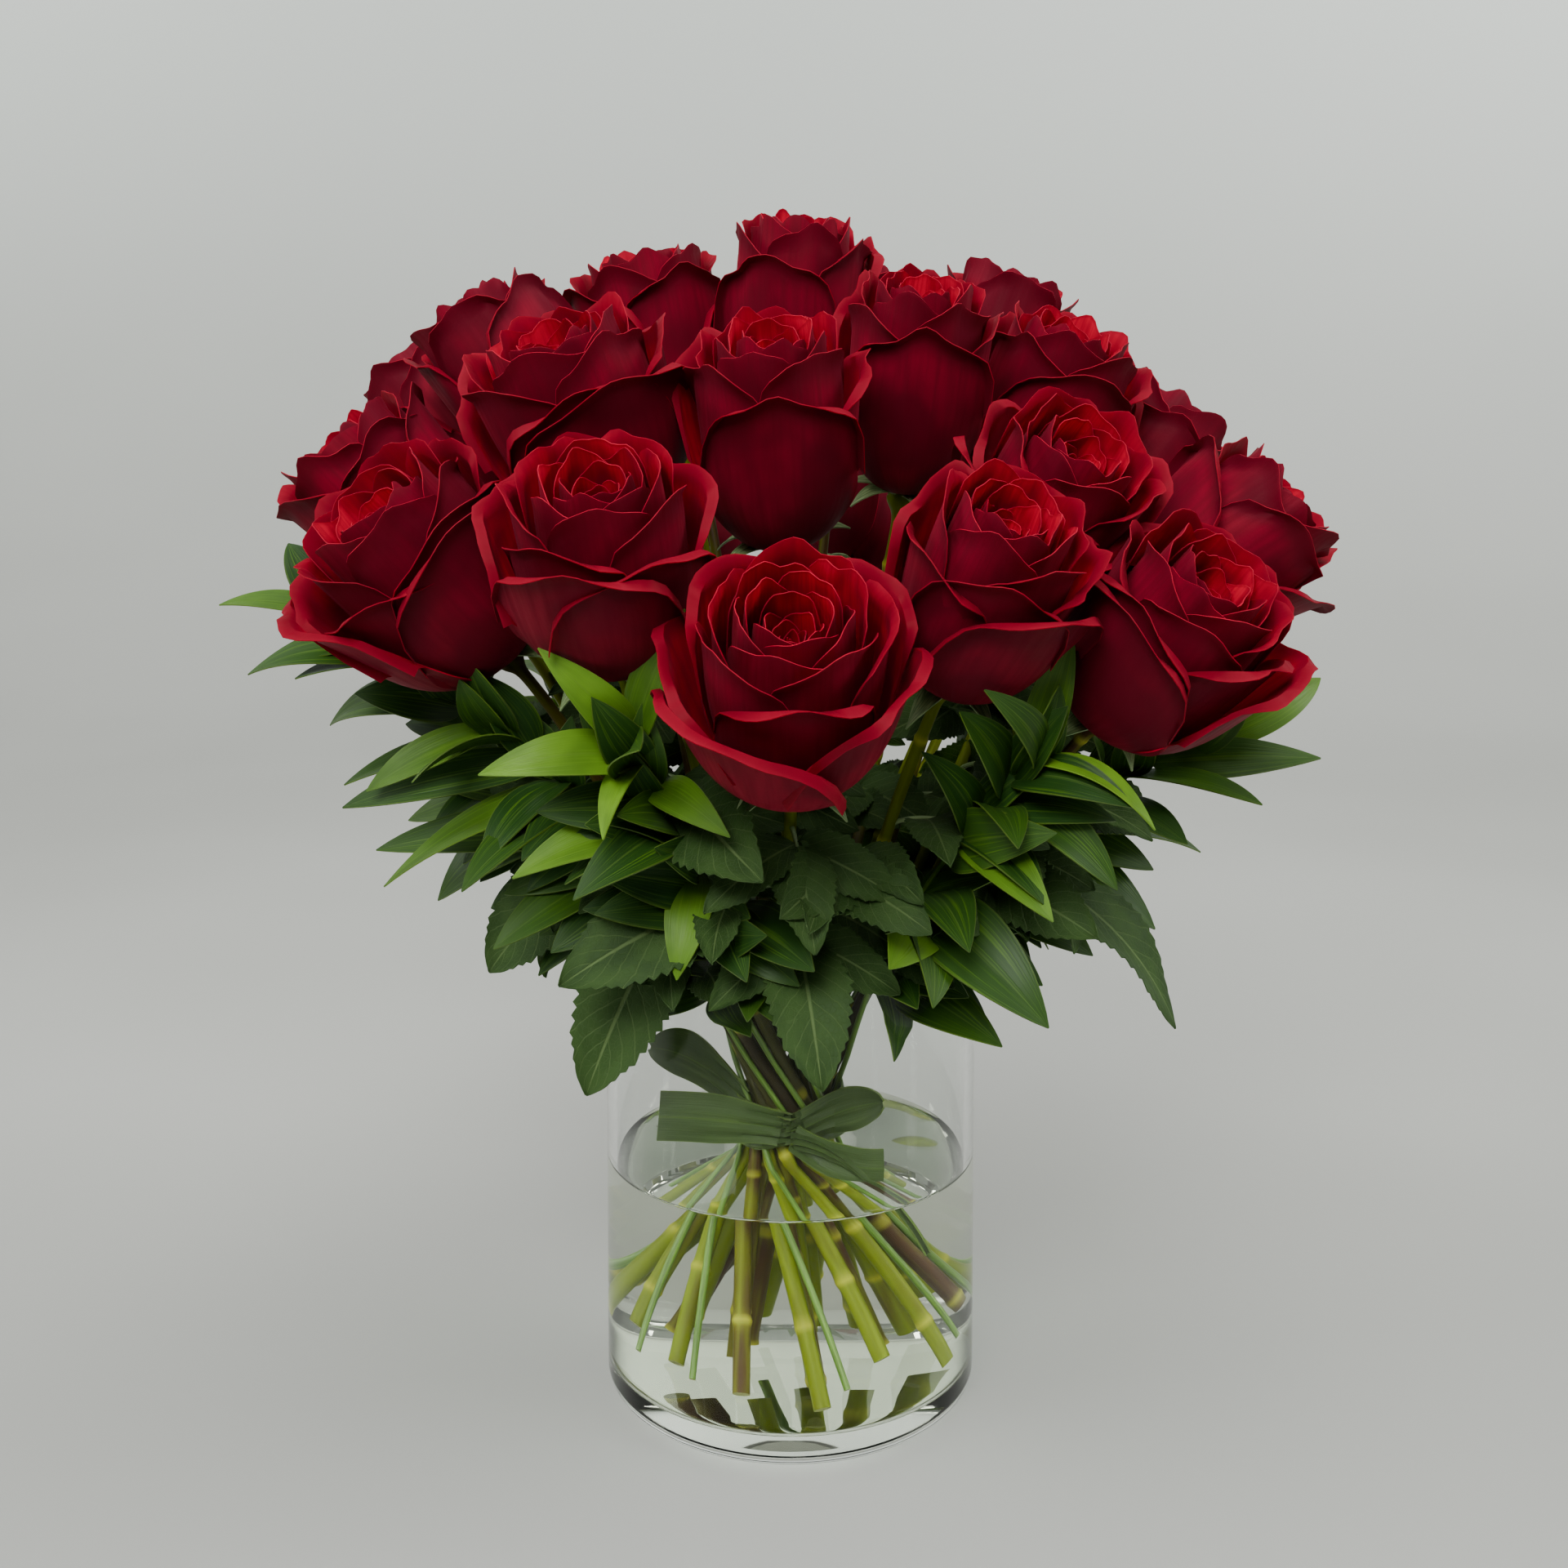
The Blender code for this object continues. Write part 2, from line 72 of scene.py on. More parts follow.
# Ring, place on it, azimuth, reach and height of the crown, lean, facing, length, width and how open it is.
ROSES = (
    ("outer", 0, 0, 160, 336, 42, 0, 86, 80, 1.0),
    ("outer", 12, -28, 144, 377, 33, -8, 82, 78, 0.7),
    ("outer", 11, -61, 178, 366, 45, -50, 86, 84, 0.9),
    ("outer", 10, -86, 184, 388, 43, -75, 82, 74, 0.6),
    ("middle", 7, -56, 110, 428, 29, -40, 82, 82, 0.8),
    ("middle", 6, -98, 137, 442, 35, -90, 82, 72, 0.5),
    ("inner", 2, -127, 80, 466, 14, -55, 82, 74, 0.6),
    ("middle", 0, -6, 81, 426, 25, -8, 88, 71, 0.35),
    ("inner", 1, 164, 15, 477, 10, 15, 82, 66, 0.3),
    ("inner", 0, 58, 61, 447, 21, 13, 88, 67, 0.3),
    ("middle", 3, 125, 126, 458, 20, 90, 82, 70, 0.6),
    ("middle", 2, 92, 118, 432, 27, 45, 82, 76, 0.7),
    ("middle", 1, 57, 133, 386, 45, 30, 82, 75, 0.9),
    ("outer", 1, 31, 150, 364, 39, 24, 82, 70, 0.6),
    ("outer", 2, 55, 185, 341, 45, 38, 82, 78, 0.8),
    ("outer", 3, 86, 203, 365, 53, 75, 82, 76, 0.6),
    ("outer", 4, 110, 184, 399, 39, 103, 82, 74, 0.5),
    ("middle", 4, 163, 108, 463, 14, 147, 82, 72, 0.6),
    ("outer", 9, -115, 189, 418, 43, -108, 82, 74, 0.6),
    ("outer", 8, -135, 210, 380, 45, -135, 82, 76, 0.8),
    ("outer", 7, -163, 202, 376, 43, -165, 82, 74, 0.6),
    ("outer", 6, 167, 204, 376, 43, 165, 82, 76, 0.9),
    ("outer", 5, 133, 206, 380, 44, 130, 82, 74, 0.7),
    ("middle", 5, -154, 139, 442, 29, -150, 82, 72, 0.4),
)
# Outer petals that have opened wide: rose number, direction (0 is right, 90 is up the bloom), how far.
OPEN_PETALS = (
    (1, 236, 0.22), (2, 262, 0.12), (3, 318, 0.1), (3, 215, 0.15), (5, 300, 0.2),
    (13, 200, 0.2), (14, 290, 0.2), (15, 215, 0.1), (15, 330, 0.08),
)
# Direction of the outermost petal on the blooms that face the front; the others take one at random.
OUTERMOST_PETALS = {1: 325, 2: 300, 3: 322, 5: 285, 8: 275, 10: 268, 13: 290, 14: 262, 15: 215}
# Rose number, share of its stem's curve, then azimuth, reach and height of the leaf's tip.
ROSE_LEAVES = (
    (1, 0.57, -41, 126, 191), (1, 0.62, 25, 116, 213), (1, 0.78, 4, 116, 209),
    (1, 0.50, 6, 104, 156), (2, 0.44, -50, 100, 140), (3, 0.50, -76, 122, 176),
    (15, 0.45, 54, 138, 204), (15, 0.60, 72, 155, 160), (17, 0.40, 104, 125, 176),
    (23, 0.44, 116, 108, 154), (22, 0.40, 170, 112, 169), (21, 0.42, -172, 106, 149),
    (20, 0.42, -151, 112, 164), (19, 0.40, -108, 110, 154),
)
# Notch of the outer ring, then azimuth, reach and height of the end, its lean and facing.
SPRAYS = {
    "front_left": (12, -28, 118, 282, 30, -28),
    "left": (11, -62, 127, 278, 60, -62),
    "far_left": (10, -90, 190, 316, 60, -90),
    "front_right": (1, 42, 130, 274, 50, 42),
    "right": (3, 82, 165, 266, 70, 85),
    "back_right": (5, 135, 150, 266, 60, 135),
    "back": (6, 180, 150, 266, 60, 180),
    "back_left": (8, -135, 150, 266, 60, -135),
}
# Share of the spray's curve, then azimuth, reach and height of the leaf's tip, and how bright the leaf is:
# partly its own tone, partly painted light and shade, lighter for lit leaves and darker for shaded ones.
SPRAY_LEAVES = {
    "front_left": (
        (0.98, -34, 152, 316, 0.9), (0.98, -16, 130, 329, 0.6), (0.94, -40, 164, 273, 0.9),
        (0.94, -26, 144, 252, 1.0), (0.86, -9, 132, 253, 0.7), (0.72, -41, 147, 234, 0.8),
        (0.60, -22, 108, 195, 0.8), (0.50, -8, 104, 218, 0.2),
    ),
    "left": (
        (0.99, -66, 171, 256, 0.6), (0.92, -52, 168, 266, 0.3), (0.85, -70, 178, 248, 0.2),
        (0.75, -63, 167, 222, 0.6), (0.68, -50, 152, 226, 0.3), (0.60, -73, 165, 229, 0.3),
        (0.52, -55, 133, 199, 0.4),
    ),
    "far_left": (
        (0.99, -92, 234, 317, 0.6), (0.86, -87, 217, 291, 0.3), (0.72, -95, 192, 266, 0.4),
        (0.60, -84, 178, 248, 0.3), (0.50, -96, 160, 226, 0.5), (0.42, -85, 142, 200, 0.3),
    ),
    "front_right": (
        (0.98, 27, 142, 302, 0.3), (0.98, 43, 143, 319, 0.6), (0.98, 47, 170, 252, 1.0),
        (0.85, 49, 152, 227, 0.3), (0.70, 38, 146, 220, 0.8), (0.45, 44, 132, 176, 0.3),
        (0.38, 19, 106, 199, 0.9),
    ),
    "right": (
        (0.98, 90, 215, 288, 0.7), (0.88, 80, 208, 262, 0.4), (0.80, 71, 186, 249, 0.4),
        (0.70, 68, 160, 234, 0.2), (0.58, 88, 166, 218, 0.4), (0.46, 80, 146, 192, 0.3),
    ),
    "back_right": (
        (0.98, 135, 198, 272, 0.8), (0.88, 122, 188, 260, 0.5), (0.88, 148, 186, 248, 0.3),
        (0.76, 130, 178, 230, 0.6), (0.64, 146, 162, 216, 0.3), (0.54, 124, 146, 204, 0.5),
        (0.46, 138, 130, 182, 0.3),
    ),
    "back": (
        (0.98, 180, 200, 268, 0.7), (0.88, 166, 186, 256, 0.4), (0.88, 193, 188, 250, 0.6),
        (0.76, 174, 174, 230, 0.3), (0.64, 190, 160, 218, 0.5), (0.54, 168, 146, 206, 0.3),
        (0.48, 178, 132, 186, 0.4),
    ),
    "back_left": (
        (0.98, -135, 198, 274, 0.6), (0.88, -148, 188, 254, 0.4), (0.88, -122, 186, 252, 0.7),
        (0.76, -140, 176, 228, 0.3), (0.64, -124, 162, 220, 0.5), (0.56, -118, 150, 210, 0.3),
        (0.50, -130, 140, 192, 0.4),
    ),
}


def outward(azimuth):
    angle = math.radians(azimuth)
    return Vector((math.sin(angle), -math.cos(angle), 0))


def place(azimuth, reach, height):
    return outward(azimuth) * reach * MM + Vector((0, 0, height * MM))


def leaning(lean, facing):
    angle = math.radians(lean)
    return outward(facing) * math.sin(angle) + Vector((0, 0, math.cos(angle)))


def bezier(start, start_handle, end_handle, end, share):
    rest = 1 - share
    return (
        start * rest**3
        + start_handle * (3 * rest**2 * share)
        + end_handle * (3 * rest * share**2)
        + end * share**3
    )


def bezier_slope(start, start_handle, end_handle, end, share):
    rest = 1 - share
    return (
        3 * rest**2 * (start_handle - start)
        + 6 * rest * share * (end_handle - start_handle)
        + 3 * share**2 * (end - end_handle)
    )


def ruled(radius, azimuth, slope, height):
    """A point of the straight stretch of a stem, which passes the binding at this radius and azimuth."""
    drift = outward(azimuth - 90) * slope * (height - BINDING_HEIGHT)
    return outward(azimuth) * radius + drift + Vector((0, 0, height))


class Stem:
    """The centreline of a stem: straight through the binding, then a curve to its end."""

    def __init__(self, radius, azimuth, slope, cut, end, direction):
        self.ruling = (radius, azimuth, slope)
        self.cut = cut
        knee = ruled(*self.ruling, KNEE_HEIGHT)
        along = (knee - ruled(*self.ruling, BINDING_HEIGHT)).normalized()
        length = (end - knee).length
        self.handles = (knee, knee + along * length * BEND, end - direction * length * BEND, end)

    def curve(self, share):
        return bezier(*self.handles, share)

    def line(self, straight_steps, curve_steps):
        """Points from the cut end to the top."""
        rise = KNEE_HEIGHT - self.cut
        heights = [self.cut + rise * i / straight_steps for i in range(straight_steps)]
        points = [ruled(*self.ruling, height) for height in heights]
        return points + [self.curve(i / curve_steps) for i in range(curve_steps + 1)]


class Rose:
    """A rose's measures from its row: its axis, its hip where bloom and stem meet, and its stem's line."""

    def __init__(self, number, row):
        ring, slot, azimuth, reach, height, lean, facing, length, width, openness = row
        self.number = number
        self.axis = leaning(lean, facing)
        self.length = length * MM
        self.width = width
        self.openness = openness
        self.hip = place(azimuth, reach, height) - self.axis * self.length
        turn = 360 * slot / RING_STEMS[ring] + SPIRAL_TURN
        cut = CUT_HEIGHT + CUT_STEP * (number * 5 % 4)
        self.stem = Stem(RING_RADIUS[ring], turn, RING_SLOPE[ring], cut, self.hip, self.axis)


def spray_stem(row):
    notch, azimuth, reach, height, lean, facing = row
    turn = 360 * (notch + 0.5) / RING_STEMS["outer"] + SPIRAL_TURN
    end = place(azimuth, reach, height)
    return Stem(SPRAY_RING_RADIUS, turn, SPRAY_SLOPE, SPRAY_CUT_HEIGHT, end, leaning(lean, facing))


# ---------- Mesh building ----------
class Shell:
    """Collects closed sheets and bars into one mesh, with two coordinate maps for its materials."""

    def __init__(self):
        self.points = []
        self.faces = []
        self.slots = []
        self.main_map = []
        self.tone_map = []
        self.count = 0

    def _add(self, points, main, tone):
        first = self.count
        self.points.append(points.reshape(-1, 3))
        self.main_map.append(main.reshape(-1, 2))
        self.tone_map.append(np.broadcast_to(np.asarray(tone, float), (len(self.points[-1]), 2)))
        self.count += len(self.points[-1])
        return first

    def _quads(self, corners, slot):
        quads = np.stack(corners, -1).reshape(-1, 4).tolist()
        self.faces.extend(quads)
        self.slots.extend([slot] * len(quads))

    def sheet(self, grid, across, along, tone, thickness, outer_slot, inner_slot):
        """A closed sheet round a grid of points: rows along it, columns across it from -1 to 1."""
        rows, columns = grid.shape[:2]
        normal = np.cross(np.gradient(grid, axis=1), np.gradient(grid, axis=0))
        normal /= np.linalg.norm(normal, axis=2, keepdims=True) + 1e-12
        half = normal * np.asarray(thickness)[..., None] / 2
        main = np.stack(np.broadcast_arrays(across / 2 + 0.5, along), -1)
        first = self._add(grid + half, main, tone)
        self._add(grid - half, main, tone)
        top = first + np.arange(rows * columns).reshape(rows, columns)
        low = top + rows * columns
        self._quads((top[:-1, :-1], top[:-1, 1:], top[1:, 1:], top[1:, :-1]), outer_slot)
        self._quads((low[:-1, :-1], low[1:, :-1], low[1:, 1:], low[:-1, 1:]), inner_slot)
        rims = ((low[0], top[0]), (top[-1], low[-1]), (top[:, 0], low[:, 0]), (low[:, -1], top[:, -1]))
        for near, far in rims:
            self._quads((near[:-1], near[1:], far[1:], far[:-1]), inner_slot)

    def bar(self, points, radii, sides, tone, slot, end_slot, swell=None):
        """A closed round bar through the points; swell marks its nodes in the tone map."""
        points = np.array([tuple(p) for p in points])
        along = np.gradient(points, axis=0)
        along /= np.linalg.norm(along, axis=1, keepdims=True)
        length = np.concatenate([[0], np.cumsum(np.linalg.norm(np.diff(points, axis=0), axis=1))])
        normal = np.cross(along[0], (0.3, 0.5, 0.8))
        angles = np.linspace(0, 2 * np.pi, sides, endpoint=False)
        rings = []
        for i in range(len(points)):
            normal = normal - along[i] * normal.dot(along[i])
            normal /= np.linalg.norm(normal)
            side = np.cross(along[i], normal)
            ring = np.outer(np.cos(angles), normal) + np.outer(np.sin(angles), side)
            rings.append(points[i] + ring * radii[i])
        grid = np.stack(rings)
        main = np.stack(np.broadcast_arrays(angles[None, :] / (2 * np.pi), length[:, None] * 10), -1)
        tones = np.zeros((*grid.shape[:2], 2))
        tones[..., 0] = 0 if swell is None else np.asarray(swell)[:, None]
        tones[..., 1] = tone
        first = self._add(grid, main, tones.reshape(-1, 2))
        index = first + np.arange(grid.shape[0] * sides).reshape(-1, sides)
        around = np.roll(index, -1, axis=1)
        self._quads((index[:-1], around[:-1], around[1:], index[1:]), slot)
        self.faces.append(index[0][::-1].tolist())
        self.faces.append(index[-1].tolist())
        self.slots.extend([end_slot, end_slot])

    def finish(self, name, looks, node):
        """Makes the object, which rides on the body and stands for this CAD node."""
        mesh = bpy.data.meshes.new(name)
        mesh.from_pydata(np.concatenate(self.points).tolist(), [], self.faces)
        for look in looks:
            mesh.materials.append(look)
        mesh.polygons.foreach_set("material_index", self.slots)
        corners = np.empty(len(mesh.loops), np.int32)
        mesh.loops.foreach_get("vertex_index", corners)
        for title, values in (("main", self.main_map), ("tone", self.tone_map)):
            layer = mesh.uv_layers.new(name=title)
            layer.data.foreach_set("uv", np.concatenate(values)[corners].ravel())
        mesh.shade_smooth()
        mesh.set_sharp_from_angle(angle=math.radians(60))
        adopt(add_object(name, mesh), node)


def add_object(name, data):
    made = bpy.data.objects.new(name, data)
    bpy.context.scene.collection.objects.link(made)
    return made


def adopt(piece, node):
    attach(piece, "root")
    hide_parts(node)


def smooth(values):
    """A soft step from 0 to 1."""
    values = np.clip(values, 0, 1)
    return values * values * (3 - 2 * values)


def frame_of(axis, spin=0.0):
    """Three unit vectors: right and up across the axis, turned about it by spin, and the axis itself."""
    third = np.array(axis)
    right = np.array((1, 0, 0)) - third * third[0]
    right /= np.linalg.norm(right)
    first = right * math.cos(spin) + np.cross(third, right) * math.sin(spin)
    return first, np.cross(third, first), third


# ---------- Materials ----------
PATTERN_SHIFT = 37.0


class Look:
    """A node material under construction."""

    def __init__(self, name):
        self.material = bpy.data.materials.new(name)
        self.material.use_nodes = True
        self.tree = self.material.node_tree
        self.shader = self.tree.nodes["Principled BSDF"]
        self.output = self.tree.nodes["Material Output"]

    def node(self, kind, **values):
        made = self.tree.nodes.new("ShaderNode" + kind)
        for key, value in values.items():
            if hasattr(made, key) and key not in made.inputs:
                setattr(made, key, value)
            else:
                made.inputs[key].default_value = value
        return made

    def link(self, source, target):
        self.tree.links.new(source, target)

    def feed(self, socket, value):
        """Sets a socket to a number or a colour, or links another node's output to it."""
        if isinstance(value, tuple):
            socket.default_value = (*value, 1)
        elif isinstance(value, (int, float)):
            socket.default_value = value
        else:
            self.link(value, socket)

    def math(self, operation, first, second=None):
        made = self.node("Math", operation=operation)
        self.feed(made.inputs[0], first)
        if second is not None:
            self.feed(made.inputs[1], second)
        return made.outputs[0]

    def times(self, first, second):
        return self.math("MULTIPLY", first, second)

    def fade(self, value, low, high, low_value=0.0, high_value=1.0):
        """A soft step from low_value, where value is low, to high_value, where it is high."""
        limits = {"From Min": low, "From Max": high, "To Min": low_value, "To Max": high_value}
        made = self.node("MapRange", interpolation_type="SMOOTHSTEP", **limits)
        self.link(value, made.inputs["Value"])
        return made.outputs["Result"]

    def mix(self, factor, first, second):
        made = self.node("Mix", data_type="RGBA")
        for key, value in ((0, factor), (6, first), (7, second)):
            self.feed(made.inputs[key], value)
        return made.outputs[2]

    def maps(self):
        """The coordinates across and along the piece and its two tone values, the last of them by chance."""
        values = []
        for title in ("main", "tone"):
            split = self.node("SeparateXYZ")
            self.link(self.node("UVMap", uv_map=title).outputs[0], split.inputs[0])
            values += split.outputs[:2]
        self.across, self.along, _, self.chance = values
        return values

    def stretched(self, across_scale, along_scale):
        """A pattern's coordinates, moved by chance so that no two pieces show the same stretch of it."""
        joined = self.node("CombineXYZ")
        self.link(self.times(self.across, across_scale), joined.inputs[0])
        self.link(self.times(self.along, along_scale), joined.inputs[1])
        self.link(self.times(self.chance, PATTERN_SHIFT), joined.inputs[2])
        return joined.outputs[0]

    def pattern(self, across_scale, along_scale, detail=2.0):
        return self.noise(self.stretched(across_scale, along_scale), 1.0, detail)

    def noise(self, vector, scale, detail=2.0):
        made = self.node("TexNoise", Scale=scale, Detail=detail)
        self.link(vector, made.inputs["Vector"])
        return made.outputs["Fac"]

    def object_space(self):
        return self.node("TexCoord").outputs["Object"]

    def bump(self, height, strength, distance):
        made = self.node("Bump", Strength=strength, Distance=distance)
        self.link(height, made.inputs["Height"])
        self.link(made.outputs[0], self.shader.inputs["Normal"])

    def colour(self, body):
        self.link(body, self.shader.inputs["Base Color"])

    def rough(self, noise, low, high):
        self.link(self.fade(noise, 0.2, 0.8, low, high), self.shader.inputs["Roughness"])

    def set(self, **values):
        for key, value in values.items():
            self.shader.inputs[key.replace("_", " ")].default_value = value

    def blend_with(self, other, share):
        """Mixes another shader into the main one."""
        mixed = self.node("MixShader")
        self.feed(mixed.inputs[0], share)
        self.link(self.shader.outputs[0], mixed.inputs[1])
        self.link(other.outputs[0], mixed.inputs[2])
        self.link(mixed.outputs[0], self.output.inputs["Surface"])

    def glow_through(self, colour, share):
        """Mixes in light that passes through from behind."""
        thin = self.node("BsdfTranslucent")
        self.feed(thin.inputs["Color"], colour)
        self.blend_with(thin, share)


def petal_look(name, bright, deep, edge, sheen, glow):
    """Velvet: bright and deep red in clouds and streaks, deep on the outer petals' lips, with a painted
    highlight: a thin pale line along the edge, where the rolled rim catches the light.
    """
    look = Look(name)
    _, along, layer, chance = look.maps()
    streaks = look.pattern(26, 2.2, 3.0)
    clouds = look.pattern(2.2, 2.6)
    body = look.mix(look.fade(clouds, 0.35, 0.65), deep, bright)
    body = look.mix(look.fade(streaks, 0.35, 0.7, 0.0, 0.45), body, deep)
    body = look.mix(look.fade(along, 0.0, 0.35, 0.55, 0.0), body, deep)
    outer_petals = look.fade(layer, 0.55, 0.95, 0.1, 1.0)
    lips = look.times(look.fade(along, 0.84, 0.94), outer_petals)
    body = look.mix(lips, body, deep)
    # Painted highlight: the edge colour lightens the last sliver of the petal, where its rim catches the
    # light.
    body = look.mix(look.fade(along, 0.98, 1.0, 0.0, 0.6), body, edge)
    body = look.mix(look.times(chance, 0.3), body, deep)
    look.colour(body)
    grain = look.noise(look.object_space(), 900.0, 3.0)
    height = look.math("ADD", look.times(streaks, 0.8), look.times(grain, 0.25))
    look.bump(height, 0.35, 0.0006)
    look.rough(streaks, 0.5, 0.68)
    look.set(Sheen_Weight=sheen, Sheen_Roughness=0.5, Sheen_Tint=(0.9, 0.12, 0.2, 1.0))
    look.set(Specular_IOR_Level=0.07)
    look.glow_through(bright, glow)
    return look.material


def ruscus_look(name, dark, bright, roughness, gloss):
    """A waxy blade with parallel veins and a pale rib; a thin pale line along its edge is a painted
    highlight, where the edge catches the light.
    """
    look = Look(name)
    across, along, lightness, _ = look.maps()
    veins = look.pattern(30, 1.2)
    clouds = look.pattern(1.5, 3.0)
    # Each leaf's lightness is partly its own tone and partly painted light and shade.
    body = look.mix(look.math("POWER", lightness, 2.1), dark, bright)
    body = look.mix(look.fade(clouds, 0.35, 0.7, 0.0, 0.35), body, dark)
    body = look.mix(look.fade(veins, 0.5, 0.72, 0.0, 0.3), body, bright)
    side = look.math("ABSOLUTE", look.math("SUBTRACT", across, 0.5))
    # Painted highlight: a thin pale line along the edge, where the edge catches the light.
    body = look.mix(look.fade(side, 0.47, 0.5, 0.0, 0.3), body, (0.2, 0.3, 0.04))
    rib = look.fade(side, 0.0, 0.03, 0.35, 0.0)
    body = look.mix(rib, body, (0.12, 0.22, 0.03))
    look.colour(body)
    look.bump(look.math("ADD", veins, look.times(side, -2.0)), 0.4, 0.0005)
    look.rough(clouds, roughness - 0.06, roughness + 0.1)
    look.set(Specular_IOR_Level=gloss)
    look.glow_through(look.mix(0.2, body, (0.12, 0.3, 0.01)), 0.16)
    return look.material


def rose_leaf_look(name, dark, light, vein_colour, roughness):
    """A matt leaf with a midrib, slanting side veins and a fine web between them."""
    look = Look(name)
    across, along, lightness, _ = look.maps()
    side = look.math("ABSOLUTE", look.math("SUBTRACT", across, 0.5))
    slope = look.math("SUBTRACT", look.times(along, 8.0), look.times(side, 5.0))
    wobble = look.pattern(5, 5)
    slope = look.math("ADD", slope, look.times(wobble, 0.5))
    away = look.math("ABSOLUTE", look.math("SUBTRACT", look.math("FRACT", slope), 0.5))
    lateral = look.fade(away, 0.01, 0.07, 1.0, 0.0)
    midrib = look.fade(side, 0.01, 0.028, 1.0, 0.0)
    web_source = look.node("TexVoronoi", feature="DISTANCE_TO_EDGE", Scale=1.0)
    look.link(look.stretched(16, 26), web_source.inputs["Vector"])
    web = look.fade(web_source.outputs["Distance"], 0.0, 0.08, 1.0, 0.0)
    clouds = look.pattern(3, 4, 3.0)
    body = look.mix(look.fade(clouds, 0.3, 0.7), dark, light)
    body = look.mix(look.times(lightness, 0.5), body, light)
    body = look.mix(look.times(web, 0.15), body, vein_colour)
    veins = look.math("MAXIMUM", look.times(lateral, 0.5), midrib)
    body = look.mix(veins, body, vein_colour)
    look.colour(body)
    height = look.math("ADD", look.times(veins, -1.0), look.times(web, -0.35))
    look.bump(height, 0.6, 0.0005)
    look.rough(clouds, roughness - 0.05, roughness + 0.08)
    look.set(Specular_IOR_Level=0.16)
    look.glow_through(look.mix(0.5, body, (0.12, 0.2, 0.04)), 0.12)
    return look.material


def stem_look(name, green, brown, brownness):
    """A rose stem: streaked green and brown, yellow on its nodes, and painted nearly black from the binding
    up, as shade where the stems crowd together.
    """
    look = Look(name)
    _, along, node, _ = look.maps()
    streaks = look.pattern(6, 1.2, 3.0)
    patches = look.pattern(2, 2.5)
    blend = look.fade(patches, 0.62 - 0.45 * brownness, 0.95 - 0.45 * brownness)
    body = look.mix(blend, green, brown)
    body = look.mix(look.fade(streaks, 0.45, 0.75, 0.0, 0.4), body, (0.24, 0.3, 0.015))
    # Painted shade: darkens the stretch from the binding up, where the stems crowd together.
    below_top = look.fade(along, 1.9, 2.4, 1.0, 0.0)
    bundle_shade = look.times(look.fade(along, 0.85, 1.05), below_top)
    body = look.mix(look.times(bundle_shade, 0.85), body, (0.035, 0.03, 0.014))
    body = look.mix(look.times(node, 0.75), body, (0.42, 0.42, 0.03))
    look.colour(body)
    grain = look.noise(look.object_space(), 500.0, 3.0)
    look.bump(look.math("ADD", streaks, look.times(grain, 0.4)), 0.3, 0.0005)
    look.rough(streaks, 0.35, 0.55)
    look.set(Specular_IOR_Level=0.12)
    return look.material


def plain_plant_look(name, dark, light, roughness):
    """A waxy plant surface with lengthwise grain, for sepals, hips, cut ends and thin stems."""
    look = Look(name)
    look.maps()
    grain = look.pattern(14, 3, 3.0)
    look.colour(look.mix(look.fade(grain, 0.35, 0.7), dark, light))
    look.bump(grain, 0.3, 0.0004)
    look.rough(grain, roughness - 0.06, roughness + 0.06)
    return look.material


def clear_look(name, tint, ior, shadow):
    """Glass or water: it refracts what is seen through it, and lets lamplight through to what is behind."""
    look = Look(name)
    cast = look.noise(look.object_space(), 12.0)
    fainter = tuple(value * 0.985 for value in tint)
    look.colour(look.mix(look.fade(cast, 0.35, 0.7), tint, fainter))
    look.set(Roughness=0.0, Transmission_Weight=1.0, IOR=ior, Specular_Tint=(0.14, 0.14, 0.14, 1))
    passing = look.node("BsdfTransparent", Color=(*shadow, 1))
    look.blend_with(passing, look.node("LightPath").outputs["Is Shadow Ray"])
    return look.material


def backdrop_look():
    """Paper, a little darker where it lies as the floor than where it stands as the backdrop, as painted
    shade lower down.
    """
    look = Look("backdrop_paper")
    split = look.node("SeparateXYZ")
    point = look.object_space()
    look.link(point, split.inputs[0])
    clouds = look.noise(point, 1.4)
    # Painted shade: the paper darkens with falling height, down to the floor.
    height = look.fade(split.outputs[2], -0.1, 1.6)
    body = look.mix(height, (0.325, 0.33, 0.305), (0.7, 0.75, 0.705))
    body = look.mix(look.fade(clouds, 0.3, 0.7, 0.0, 0.15), body, (0.6, 0.61, 0.59))
    look.colour(body)
    look.set(Roughness=0.85)
    return look.material


# ---------- Vase and water ----------
def arc(centre, radius, start, end, steps):
    angles = [math.radians(start + (end - start) * i / steps) for i in range(steps + 1)]
    return [(centre[0] + radius * math.cos(a), centre[1] + radius * math.sin(a)) for a in angles]


